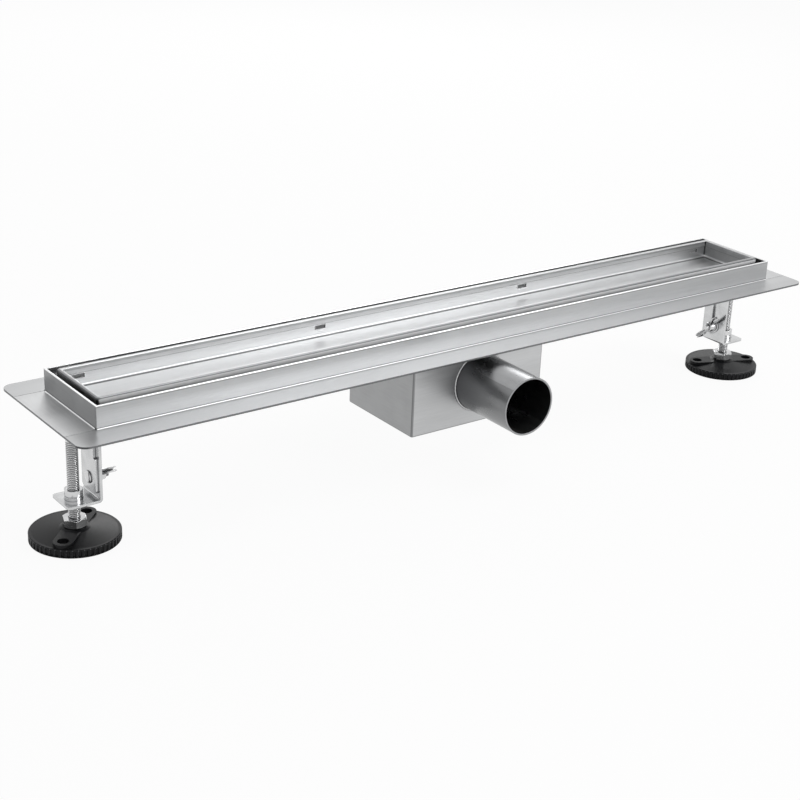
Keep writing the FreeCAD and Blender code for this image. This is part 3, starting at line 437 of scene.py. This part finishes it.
def slot_height(tree):
    """1 at the height of the tray's slots, whose cut faces are painted black and not metallic, a painted
    shade.
    """
    return within(tree, off_middle(tree)[2], TRAY_TOP - 14 * MM, TRAY_TOP - 6.5 * MM)


def behind_slots(tree):
    """1 low down on the rim's inner faces, which show through the tray's slots: where painted light lies on
    matt steel.
    """
    _, aside, height = off_middle(tree)
    inside = between(tree, aside, RIM_INSIDE + 0.1 * MM, RIM_INSIDE + 0.2 * MM, 1, 0)
    low = between(tree, height, TRAY_TOP - 7.5 * MM, TRAY_TOP - 6.5 * MM, 1, 0)
    return worked_out(tree, "MULTIPLY", inside, low)


def tray_lines(tree):
    """The painted highlights on the hem's inner edge and on the foot of the walls, and the painted shade
    beside it.
    """
    along, aside, height = off_middle(tree)
    past_walls = [
        worked_out(tree, "SUBTRACT", place, half - SHEET)
        for place, half in ((along, TRAY_HALF.x), (aside, TRAY_HALF.y))]
    past_wall = worked_out(tree, "MAXIMUM", *past_walls)
    floor = TRAY_TOP - TRAY_DEPTH
    hem_edge = (
        within(tree, past_wall, -2.35 * MM, -1.5 * MM), within(tree, height, TRAY_TOP - 1.2 * MM, ABOVE_ALL))
    wall_foot = (
        within(tree, past_wall, -1.6 * MM, 0.3 * MM),
        within(tree, height, floor + 0.45 * MM, floor + 2 * MM))
    beside_wall = (
        within(tree, past_wall, -3.5 * MM, -0.9 * MM, fade=0.5 * MM),
        within(tree, height, floor - 1 * MM, floor + 0.45 * MM))
    return [
        (worked_out(tree, "MULTIPLY", *hem_edge), HEM_HIGHLIGHT),
        (worked_out(tree, "MULTIPLY", *wall_foot), FOOT_HIGHLIGHT),
        (worked_out(tree, "MULTIPLY", *beside_wall), CORNER_SHADE)]


def rim_lines(tree):
    """The rim's top with its painted highlight, and the thin painted shade under it."""
    height = off_middle(tree)[2]
    return [
        (within(tree, height, RIM_TOP - 0.5 * MM, ABOVE_ALL), TOP_EDGE_HIGHLIGHT),
        (within(tree, height, RIM_TOP - 1.4 * MM, RIM_TOP - 0.8 * MM), RIM_SHADE)]


# The mask of the rim's top edge, where the painted highlight goes
def rim_top(tree):
    """1 along the rim's top edge."""
    return between(tree, off_middle(tree)[2], RIM_TOP - 0.9 * MM, RIM_TOP - 0.6 * MM, 0, 1)


def flange_cut(tree, up):
    """1 on the cut face round the flange, 0 on the faces above and below it."""
    upright = between(tree, up, 0.5, 0.3, 0, 1)
    low = between(tree, off_middle(tree)[2], FLANGE_TOP + 0.1 * MM, FLANGE_TOP, 0, 1)
    return worked_out(tree, "MULTIPLY", upright, low)


def near_weld(tree):
    """1 at the weld that joins the outlet stub to the sump, fading out along the tube: the mask of painted
    shade.
    """
    at = put(tree, "TexCoord").outputs["Object"]
    back = put(tree, "SeparateXYZ", {0: at}).outputs[1]
    return between(tree, back, SUMP_FACE - 34 * MM, SUMP_FACE - 4 * MM, 0, 1)


def pad_lands(tree):
    """1 in a fine line along the middle of each land between the flutes of a foot pad's rim, where a painted
    highlight lies.
    """
    along, aside, _ = off_middle(tree)
    out = worked_out(tree, "SUBTRACT", along, PAD_REACH)
    turn = worked_out(tree, "ARCTAN2", aside, out)
    wave = worked_out(tree, "COSINE", worked_out(tree, "MULTIPLY", turn, FLUTES))
    land = between(tree, wave, -0.8, -0.97, 0, 1)
    squares = [worked_out(tree, "MULTIPLY", part, part) for part in (out, aside)]
    at_rim = between(tree, worked_out(tree, "ADD", *squares),
                     (PAD_RADIUS - 0.5 * MM) ** 2, (PAD_RADIUS - 0.3 * MM) ** 2, 0, 1)
    return worked_out(tree, "MULTIPLY", land, at_rim)


# Finishes

END_FACE_SHADE_SHARE = 0.68  # how bright a cross-brushed face is painted beside one brushed lengthwise, a painted shade
CLOUD_SHARE = 0.35  # how much of a brushed sheet's tone comes from its clouds
WEAR_AND_GLINT_SHARE = 0.5  # how far an edge of a moulding goes to its paler colour, partly wear and partly painted highlight
GROOVE_SHADE_SHARE = 0.3  # how bright a moulding is painted in its grooves, a painted shade
FOLD_DEPTH = 1.8 * MM  # how near the walls of a fold are for its painted shade
MATT = 0.8  # roughness where the belt doesn't reach
BUMP_DEPTH = 0.1 * MM
MOULD_BUMP = 0.25


def new_finish(name, roughness, **shine):
    """A material, its tree and its shader, with the shader's plain numbers set."""
    finish = bpy.data.materials.new(name)
    finish.use_nodes = True
    tree = finish.node_tree
    skin = tree.nodes["Principled BSDF"]
    skin.inputs["Roughness"].default_value = roughness
    for word, value in shine.items():
        skin.inputs[word.replace("_", " ")].default_value = value
    return finish, tree, skin


def dress(tree, skin, colour, roughness, height, strength, rounded):
    """Gives a shader its colour, its roughness and a normal that is bumped over rounded edges."""
    bump = put(tree, "Bump", {
        "Height": height, "Strength": strength, "Distance": BUMP_DEPTH, "Normal": rounded})
    tree.links.new(colour, skin.inputs["Base Color"])
    tree.links.new(roughness, skin.inputs["Roughness"])
    tree.links.new(bump.outputs[0], skin.inputs["Normal"])


def brushed(name, grain, end_grain, dark, light, rough, groove=0.08, bend=1.0, radius=0.5 * MM,
            edge_shade=SIDE_EDGE_SHADE, fold_shade=FOLD_SHADE, top=None, unbrushed_lit=None, hem=None, flange=None, weld_shade=None,
            lines_over=None):
    """Brushed stainless sheet: fine lines along the grain and clouds, with painted highlights and painted
    shade on its bends, cut edges and folds.
    Faces square to the drain's length are brushed the other way and painted darker, a painted shade, and
    flat flange faces get painted light. The belt doesn't reach some faces, which stay matt and get painted
    light, and a rolled hem is painted darker, a painted shade."""
    finish, tree, skin = new_finish(name, rough[0], Metallic=1.0)
    lines = placed(tree, BRUSH, Grain=grain, End_Grain=end_grain)
    line, cloud, up = (lines.outputs[word] for word in ("Line", "Cloud", "Up"))
    both = put(tree, "Mix", {0: CLOUD_SHARE, 2: line, 3: cloud}).outputs[0]
    mixed = between(tree, both, *NOISE_RANGE, 0, 1)
    roughness = between(tree, both, *NOISE_RANGE, *rough)
    # Faces square to the drain's length are painted darker: painted shade
    dark_across, light_across = (tuple(END_FACE_SHADE_SHARE * part for part in shade) for shade in (dark, light))
    lengthwise = layered(tree, mixed, dark, light)
    across = layered(tree, mixed, dark_across, light_across)
    sheet = layered(tree, lines.outputs["Across"], lengthwise, across)
    # Flat faces painted lighter than the walls, a painted light, and painted shade on the flange's cut face
    if flange is not None:
        level = between(tree, up, 0.85, 0.95, 0, 1)
        sheet = layered(tree, level, sheet, layered(tree, mixed, *flange))
        sheet = layered(tree, flange_cut(tree, up), sheet, CUT_SHADE)
    # Painted shade on the tube near the weld
    if weld_shade is not None:
        sheet = layered(tree, weld_shade(tree), sheet, WELD_SHADE)
    # The painted highlight for the bends
    foot = BEND_HIGHLIGHT
    # The rolled hem is painted darker, a painted shade, with painted shade on its lip and its bends
    if hem is not None:
        rolled = hem(tree)
        sheet = layered(tree, rolled, sheet, layered(tree, mixed, *HEM_SHADED_TONES))
        sheet = layered(tree, hem_lip(tree), sheet, LIP_SHADE)
        foot = layered(tree, rolled, TRAY_BEND_HIGHLIGHT, HEM_BEND_SHADE)
    # Bends: a painted highlight on their flatter part and painted shade on their steeper part
    if bend:
        curve = layered(tree, between(tree, up, 0.55, 0.75, 0, 1), BEND_SHADE, foot)
        sheet = layered(tree, worked_out(tree, "MULTIPLY", lines.outputs["Bend"], bend), sheet, curve)
    # Matt faces that the belt doesn't reach, lightened with painted light
    if unbrushed_lit is not None:
        matt = unbrushed_lit(tree)
        sheet = layered(tree, matt, sheet, UNBRUSHED_LIT_TONE)
        roughness = put(tree, "Mix", {0: matt, 2: roughness, 3: MATT}).outputs[0]
    # Painted shade along the cut edges, with the painted highlight along the rim's top
    edge = placed(tree, EDGES, Radius=radius)
    cut = edge_shade if top is None else layered(tree, top(tree), edge_shade, TOP_EDGE_HIGHLIGHT)
    sheet = layered(tree, edge.outputs["Edge"], sheet, cut)
    # Painted shade deep in the folds
    fold = deep_in(tree, FOLD_DEPTH)
    sheet = layered(tree, fold, sheet, fold_shade)
    # The tray's folds at the slots' height are painted black and not metallic: painted shade
    if hem is not None:
        cut_slot = worked_out(tree, "MULTIPLY", fold, slot_height(tree))
        tree.links.new(between(tree, cut_slot, 0, 1, 1, 0), skin.inputs["Metallic"])
    # Lines of painted highlight and painted shade laid over the sheet
    for mask, shade in lines_over(tree) if lines_over else ():
        sheet = layered(tree, mask, sheet, shade)
    dress(tree, skin, sheet, roughness, line, groove, edge.outputs["Rounded"])
    return finish


def plated(name, dark, light, rough, marks=0.05, depth=1 * MM, fold_shade=FOLD_SHADE):
    """Bright zinc plating."""
    finish, tree, skin = new_finish(name, rough[0], Metallic=1.0)
    bloom = placed(tree, BLOOM).outputs
    edge = placed(tree, EDGES, Radius=0.35 * MM)
    plate = layered(tree, bloom["Bloom"], dark, light)
    # Painted highlight along the edges
    plate = layered(tree, edge.outputs["Edge"], plate, ZINC_EDGE_HIGHLIGHT)
    # Painted shade deep in the grooves
    plate = layered(tree, deep_in(tree, depth), plate, fold_shade)
    roughness = between(tree, bloom["Bloom"], 0, 1, *rough)
    dress(tree, skin, plate, roughness, bloom["Marks"], marks, edge.outputs["Rounded"])
    return finish


def moulded(name, dark, light, rough, shine, edge_wear_and_glint=None, depth=1 * MM, land_glints=None):
    """Moulded plastic or rubber, matt where the mould was grained and paler along its edges, partly from
    wear and partly a painted highlight.
    """
    finish, tree, skin = new_finish(name, rough[0], Specular_IOR_Level=shine)
    mould = placed(tree, MOULD).outputs
    edge = placed(tree, EDGES, Radius=0.5 * MM)
    body = layered(tree, mould["Flow"], dark, light)
    # Paler edges: partly wear, partly painted highlight
    pale = edge_wear_and_glint or tuple(min(1, part * 1.8 + 0.01) for part in light)
    body = layered(tree, worked_out(tree, "MULTIPLY", edge.outputs["Edge"], WEAR_AND_GLINT_SHARE), body, pale)
    # Painted highlight along the lands
    if land_glints is not None:
        body = layered(tree, land_glints(tree), body, LAND_HIGHLIGHT)
    # Painted shade in the grooves
    body = layered(tree, deep_in(tree, depth), body, tuple(GROOVE_SHADE_SHARE * part for part in dark))
    roughness = between(tree, mould["Grain"], *NOISE_RANGE, *rough)
    dress(tree, skin, body, roughness, mould["Grain"], MOULD_BUMP, edge.outputs["Rounded"])
    return finish


ALONG = (14, 1400, 1400)
ACROSS = (1400, 14, 1400)
UPRIGHT = (1400, 1400, 14)
MILLED, MILLED_ENDS = (40, 900, 900), (900, 40, 900)
ROUND = (90, 1600, 90)
TUBE_ROUND = (300, 40, 300)
EVEN = (300, 300, 300)

STEEL = {"dark": (0.4, 0.405, 0.41), "light": (0.475, 0.48, 0.485)}
TRAY_STEEL = {"dark": (0.53, 0.535, 0.54), "light": (0.63, 0.635, 0.64)}
MILL_STEEL = {"dark": (0.46, 0.465, 0.47), "light": (0.54, 0.545, 0.55)}
# painted shade: the tube's steel is darker, standing for the dark surroundings it mirrors
POLISHED_STEEL_SHADED = {"dark": (0.3, 0.304, 0.31), "light": (0.35, 0.354, 0.36)}
WELDED_STEEL = {"dark": (0.4, 0.4, 0.41), "light": (0.6, 0.6, 0.6)}
SATIN = (0.3, 0.42)

LONG_SHEET = brushed(
    "steel_brushed_lengthwise", ALONG, UPRIGHT, **STEEL, rough=SATIN, radius=0.7 * MM, top=rim_top,
    unbrushed_lit=behind_slots, flange=LONG_FLANGE_LIT, lines_over=rim_lines)
END_SHEET = brushed(
    "steel_brushed_across", ACROSS, ACROSS, **STEEL, rough=SATIN, radius=0.7 * MM, top=rim_top,
    flange=END_FLANGE_LIT, lines_over=rim_lines)
# The tray's cut edges and folds carry near-black painted shade
TRAY_SHEET = brushed(
    "steel_tray", ALONG, UPRIGHT, **TRAY_STEEL, rough=SATIN, edge_shade=SLOT_SHADE, fold_shade=SLOT_SHADE,
    unbrushed_lit=tray_sides, hem=tray_hem, lines_over=tray_lines)
TROUGH_SHEET = brushed("steel_trough", ALONG, UPRIGHT, **STEEL, rough=SATIN, bend=0.3)
BOX_SHEET = brushed(
    "steel_mill_sheet", MILLED, MILLED_ENDS, **MILL_STEEL, rough=(0.34, 0.44), groove=0.03, bend=0.6)
TUBE_STEEL = brushed(
    "steel_tube_polished", TUBE_ROUND, TUBE_ROUND, **POLISHED_STEEL_SHADED, rough=(0.26, 0.33), groove=0.01,
    bend=0, weld_shade=near_weld)
WELD_STEEL = brushed("steel_weld", EVEN, EVEN, **WELDED_STEEL, rough=(0.25, 0.4), bend=0)
STRAINER_STEEL = brushed("steel_strainer", ROUND, ROUND, **STEEL, rough=(0.25, 0.35), bend=0)

# Each zinc finish darkens its grooves with painted shade
PLATE_ZINC = plated(
    "zinc_plate", dark=(0.52, 0.525, 0.53), light=(0.64, 0.645, 0.65), rough=(0.16, 0.26),
    fold_shade=(0.3, 0.303, 0.31))
ROD_ZINC = plated(
    "zinc_rod", dark=(0.54, 0.545, 0.55), light=(0.66, 0.66, 0.665), rough=(0.1, 0.17), marks=0.02)
BUSH_ZINC = plated(
    "zinc_bush", dark=(0.56, 0.565, 0.57), light=(0.68, 0.68, 0.685), rough=(0.12, 0.2), marks=0.02,
    depth=0.6 * MM, fold_shade=(0.36, 0.363, 0.37))
THREAD_ZINC = plated(
    "zinc_thread", dark=(0.62, 0.625, 0.63), light=(0.74, 0.74, 0.745), rough=(0.15, 0.22), marks=0.02,
    depth=1.3 * MM, fold_shade=(0.14, 0.142, 0.146))

PAD_PLASTIC = moulded(
    "pad_black_plastic", dark=(0.005, 0.0052, 0.006), light=(0.008, 0.0083, 0.0098), rough=(0.32, 0.44),
    shine=0.16, edge_wear_and_glint=(0.05, 0.051, 0.054), depth=3 * MM, land_glints=pad_lands)
TRAP_PLASTIC = moulded(
    "trap_grey_plastic", dark=(0.22, 0.225, 0.23), light=(0.28, 0.285, 0.29), rough=(0.35, 0.5), shine=0.5)
RUBBER = moulded(
    "black_rubber", dark=(0.012, 0.012, 0.012), light=(0.022, 0.022, 0.022), rough=(0.6, 0.8), shine=0.3)

FINISHES = {
    "frame_front": LONG_SHEET, "frame_back": LONG_SHEET, "frame_left_end": END_SHEET,
    "frame_right_end": END_SHEET, "tile_tray": TRAY_SHEET, "tray_rests": RUBBER, "trough": TROUGH_SHEET,
    "sump_box": BOX_SHEET, "outlet_stub": TUBE_STEEL, "trap_insert": TRAP_PLASTIC, "trap_seal": RUBBER,
    "trap_cup": TRAP_PLASTIC, "hair_strainer": STRAINER_STEEL,
}
for side in WAYS:
    FINISHES.update({
        f"{side}_hanger": PLATE_ZINC, f"{side}_bracket": PLATE_ZINC, f"{side}_bush": BUSH_ZINC,
        f"{side}_screw_nut": ROD_ZINC, f"{side}_foot_pad": PAD_PLASTIC, f"{side}_washer": ROD_ZINC,
        f"{side}_wing_nut": ROD_ZINC, f"{side}_foot_screw": ROD_ZINC, f"{side}_clamp_bolt": ROD_ZINC,
    })


def dress_solids():
    """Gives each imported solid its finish."""
    for name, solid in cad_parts.items():
        solid.data.materials.clear()
        solid.data.materials.append(FINISHES[name])


# Pieces that the solids leave plain

NEAR = 0.002 * MM  # points nearer than this become one


def new_piece(name, shape, finish, body, smooth=35, stands_for=()):
    """A finished mesh as a piece of the scene that rides on a body."""
    mesh = bpy.data.meshes.new(name)
    shape.to_mesh(mesh)
    shape.free()
    mesh.materials.append(finish)
    for face in mesh.polygons:
        face.use_smooth = True
    mesh.set_sharp_from_angle(angle=math.radians(smooth))
    piece = bpy.data.objects.new(name, mesh)
    bpy.context.scene.collection.objects.link(piece)
    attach(piece, body)
    if stands_for:
        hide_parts(*stands_for)


def circle(radius, around):
    """Points round a circle, as pairs."""
    turns = [math.tau * step / around for step in range(around)]
    return [(radius * math.cos(turn), radius * math.sin(turn)) for turn in turns]


def rings_to_skin(shape, rings, capped=False):
    """Joins rows of points, each a closed ring, into one skin, with a face over both ends if capped."""
    rows = [[shape.verts.new(point) for point in ring] for ring in rings]
    around = len(rows[0])
    for low, high in zip(rows, rows[1:]):
        for step in range(around):
            following = (step + 1) % around
            shape.faces.new((low[step], low[following], high[following], high[step]))
    if capped:
        shape.faces.new(rows[0])
        shape.faces.new(rows[-1])


THREAD_PROFILE = ((0.0, 0), (0.22, 0), (0.54, 1), (0.7, 1))  # shares of the pitch and of the depth
THREAD_CHAMFER = 0.25 * MM
THREAD_STEPS = 30  # round one turn


def threaded_rod(radius, depth, pitch, start, end):
    """A rod along Z with a thread from start to end and a chamfer at both ends."""
    shape = bmesh.new()
    core = radius - depth
    turns = math.ceil((end - start) / pitch) + 2
    sections = []
    for step in range(turns * THREAD_STEPS + 1):
        angle = math.tau * step / THREAD_STEPS
        section = []
        for share, part in THREAD_PROFILE:
            height = start - pitch + pitch * (step / THREAD_STEPS + share)
            height = min(max(height, start), end)
            reach = min(core + depth * part, core - THREAD_CHAMFER + min(height - start, end - height))
            section.append(shape.verts.new((reach * math.cos(angle), reach * math.sin(angle), height)))
        sections.append(section)
    last = len(THREAD_PROFILE) - 1
    for step in range(turns * THREAD_STEPS):
        here, following = sections[step], sections[step + 1]
        for row in range(last):
            shape.faces.new((here[row], following[row], following[row + 1], here[row + 1]))
        if step + THREAD_STEPS + 1 < len(sections):
            above, above_next = sections[step + THREAD_STEPS], sections[step + THREAD_STEPS + 1]
            shape.faces.new((here[last], following[last], above_next[0], above[0]))
    bmesh.ops.remove_doubles(shape, verts=shape.verts, dist=NEAR)
    bmesh.ops.dissolve_degenerate(shape, edges=shape.edges, dist=NEAR / 2)
    rim = [edge for edge in shape.edges if edge.is_boundary]
    bmesh.ops.holes_fill(shape, edges=rim, sides=0)
    bmesh.ops.recalc_face_normals(shape, faces=shape.faces)
    return shape


SCREW_DEPTH, SCREW_PITCH = 0.7 * MM, 1.5 * MM


def make_foot_screw(side):
    """The foot screw, threaded over its whole length."""
    plain_screw = f"{side}_foot_screw"
    low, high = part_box(plain_screw)
    middle = box_middle(plain_screw)
    shape = threaded_rod(box_width(plain_screw) / 2, SCREW_DEPTH, SCREW_PITCH, low.z, high.z)
    bmesh.ops.translate(shape, verts=shape.verts, vec=(middle.x, middle.y, 0))
    new_piece(f"{side}_screw_thread", shape, THREAD_ZINC, f"{side}_screw", stands_for=[plain_screw])


BOLT_RADIUS, BOLT_DEPTH, BOLT_PITCH = 3 * MM, 0.5 * MM, 1 * MM
BOLT_NECK = 1.8 * MM  # from the head's face to its underside
BOLT_STEPS = 40  # round the head


def make_clamp_bolt(side):
    """The clamp bolt: a flat round head with a soft edge, and a thread through to its end."""
    plain_bolt = f"{side}_clamp_bolt"
    low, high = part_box(plain_bolt)
    middle = box_middle(plain_bolt)
    head = (high.z - low.z) / 2
    shape = threaded_rod(BOLT_RADIUS, BOLT_DEPTH, BOLT_PITCH, BOLT_NECK - 0.4 * MM, box_width(plain_bolt))
    outline = (
        (BOLT_NECK, 0.5 * MM), (BOLT_NECK, head - 0.2 * MM), (BOLT_NECK - 0.2 * MM, head),
        (0.9 * MM, head), (0.5 * MM, head - 0.4 * MM), (0.2 * MM, head - 1.6 * MM),
        (0.05 * MM, head - 3 * MM), (0, 0.3 * MM))
    rings_to_skin(shape, [
        [(across, up, height) for across, up in circle(reach, BOLT_STEPS)] for height, reach in outline
    ], capped=True)
    bmesh.ops.recalc_face_normals(shape, faces=shape.faces)
    turn = Matrix.Rotation(math.radians(90 * WAYS[side]), 4, "Y")
    place = Matrix.Translation((outer_end(plain_bolt, side), middle.y, middle.z)) @ turn
    bmesh.ops.transform(shape, matrix=place, verts=shape.verts)
    new_piece(f"{side}_bolt_thread", shape, ROD_ZINC, "drain", stands_for=[plain_bolt])


WING_TURNS = {"left": 148, "right": 130}  # the front wing, from the drain's back and up
WING_SECTION = (
    (-1, -0.85), (-0.92, -1), (0.92, -1), (1, -0.85), (1, -0.56), (0.9, -0.42), (0.3, -0.36),
    (0.3, 0.36), (0.9, 0.42), (1, 0.56), (1, 0.85), (0.92, 1), (-0.92, 1), (-1, 0.85),
    (-1, 0.56), (-0.9, 0.42), (-0.3, 0.36), (-0.3, -0.36), (-0.9, -0.42), (-1, -0.56))
WING_STEPS = 14
WING_ROOT, WING_SPAN = 4 * MM, 12.5 * MM  # from the bolt's axis to the wing, and the wing's length
WING_LOW, WING_RISE = 3.5 * MM, 4.6 * MM  # from the washer to the wing's middle, at the root and beyond
WING_BOW = 1.2  # 1 is a straight wing
WING_TIP = 0.8  # the share of the span at which the wing starts to round off
WING_HALF, WING_WIDER = 2.5 * MM, 0.9 * MM  # half its height at the root, and how much that grows
WING_THICK, WING_THICKER = 1.3 * MM, 0.75 * MM  # half its thickness at the root, and how much that grows
WING_SPREAD = 0.6  # the share of the span at which it's at its thickest
HUB_OUTLINE = (  # along the bolt and out from its axis, in millimetres
    (0, 3.15), (0, 4.9), (0.3, 5.2), (6.2, 4.5), (6.8, 4.1), (7, 3.6), (6.8, 3.2), (6.4, 3.1), (0, 3.1))
HUB_STEPS = 40


def add_wing(shape, way):
    """A pressed wing of the clamp's nut: two sheets with an open groove between them."""
    rings = []
    for step in range(WING_STEPS + 1):
        share = step / WING_STEPS
        reach = WING_ROOT + WING_SPAN * share
        middle = WING_LOW + WING_RISE * share ** WING_BOW
        closing = math.sqrt(max(0, 1 - max(0, (share - WING_TIP) / (1 - WING_TIP)) ** 2))
        height = (WING_HALF + WING_WIDER * share) * (0.45 + 0.55 * closing)
        thick = (WING_THICK + WING_THICKER * min(1, share / WING_SPREAD)) * (0.6 + 0.4 * closing)
        rings.append([(middle + height * along, way * reach, thick * out) for along, out in WING_SECTION])
    rings_to_skin(shape, rings, capped=True)


def make_wing_nut(side):
    """The wing nut, its wings turned as the photograph shows them."""
    plain_nut = f"{side}_wing_nut"
    bolt = box_middle(f"{side}_clamp_bolt")
    way = WAYS[side]
    shape = bmesh.new()
    rings_to_skin(shape, [
        [(along * MM, across, up) for across, up in circle(reach * MM, HUB_STEPS)]
        for along, reach in HUB_OUTLINE])
    bmesh.ops.remove_doubles(shape, verts=shape.verts, dist=NEAR)
    for wing_way in (1, -1):
        add_wing(shape, wing_way)
    bmesh.ops.recalc_face_normals(shape, faces=shape.faces)
    turned = Matrix.Rotation(math.radians(WING_TURNS[side]), 4, "X")
    faced = Matrix.Diagonal((way, 1, 1, 1))
    place = Matrix.Translation((outer_end(plain_nut, side), bolt.y, bolt.z)) @ faced @ turned
    bmesh.ops.transform(shape, matrix=place, verts=shape.verts)
    if way < 0:
        bmesh.ops.reverse_faces(shape, faces=shape.faces)
    new_piece(f"{side}_winged_nut", shape, ROD_ZINC, f"{side}_wing_nut", stands_for=[plain_nut])


BEAD_RADIUS, BEAD_RIPPLE = 1.15 * MM, 0.1 * MM
BEAD_OUT = 0.35 * MM  # from the tube's skin to the bead's middle
BEAD_RIPPLES = 48
BEAD_STEPS, BEAD_SIDES = 240, 10


def make_stub_weld():
    """The rippled bead where the outlet stub is welded to the sump's front wall."""
    middle = box_middle("outlet_stub")
    ring = box_width("outlet_stub") / 2 + BEAD_OUT
    rings = []
    for step in range(BEAD_STEPS + 1):
        angle = math.tau * step / BEAD_STEPS
        bead = BEAD_RADIUS + BEAD_RIPPLE * math.sin(BEAD_RIPPLES * angle)
        rings.append([
            ((ring + out) * math.cos(angle), -back, (ring + out) * math.sin(angle))
            for out, back in circle(bead, BEAD_SIDES)])
    shape = bmesh.new()
    rings_to_skin(shape, rings)
    bmesh.ops.remove_doubles(shape, verts=shape.verts, dist=NEAR / 2)
    bmesh.ops.recalc_face_normals(shape, faces=shape.faces)
    bmesh.ops.translate(shape, verts=shape.verts, vec=(middle.x, SUMP_FACE, middle.z))
    new_piece("outlet_weld", shape, WELD_STEEL, "drain", smooth=80)


SEAM_WIDTH, SEAM_HEIGHT = 0.7 * MM, 0.08 * MM
SEAM_RIPPLE, SEAM_WAVES = 0.3, 37
SEAM_FADE = 8  # a seam rises to its full height over an eighth of its length
SEAM_MARGIN = 0.5 * MM  # from its outer end to the flange's edge
SEAM_STEPS, SEAM_SIDES = 30, 6


def make_seam(name, start, end):
    """A ground-down weld seam on the flange: a low, faintly rippled ridge from start to end."""
    up = Vector((0, 0, 1))
    side = (end - start).normalized().cross(up)
    rows = []
    for step in range(SEAM_STEPS + 1):
        share = step / SEAM_STEPS
        fade = min(1, SEAM_FADE * share, SEAM_FADE * (1 - share))
        height = SEAM_HEIGHT * fade * (1 + SEAM_RIPPLE * math.sin(SEAM_WAVES * share))
        row = []
        for part in range(SEAM_SIDES + 1):
            turn = math.pi * part / SEAM_SIDES
            aside = side * (SEAM_WIDTH / 2 * math.cos(turn))
            above = up * (height * math.sin(turn) - SEAM_HEIGHT / 4)
            row.append(start.lerp(end, share) + aside + above)
        rows.append(row)
    shape = bmesh.new()
    rings_to_skin(shape, rows)
    bmesh.ops.recalc_face_normals(shape, faces=shape.faces)
    new_piece(name, shape, WELD_STEEL, "drain", smooth=80)


def make_seams():
    """The ground seams where the frame's ends meet its long sides."""
    end_low, end_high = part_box("frame_left_end")
    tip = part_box("frame_back")[1].x
    for side, way in WAYS.items():
        for row, place in (("front", end_low.y), ("back", end_high.y)):
            inner = Vector((-way * (tip - FLANGE_WIDTH), place, FLANGE_TOP))
            outer = Vector((-way * (tip - SEAM_MARGIN), place, FLANGE_TOP))
            make_seam(f"{side}_{row}_flange_seam", inner, outer)


set_up_camera()
set_up_studio()
dress_solids()
for side in WAYS:
    make_foot_screw(side)
    make_clamp_bolt(side)
    make_wing_nut(side)
make_stub_weld()
make_seams()

bpy.context.scene.view_settings.view_transform = "Standard"
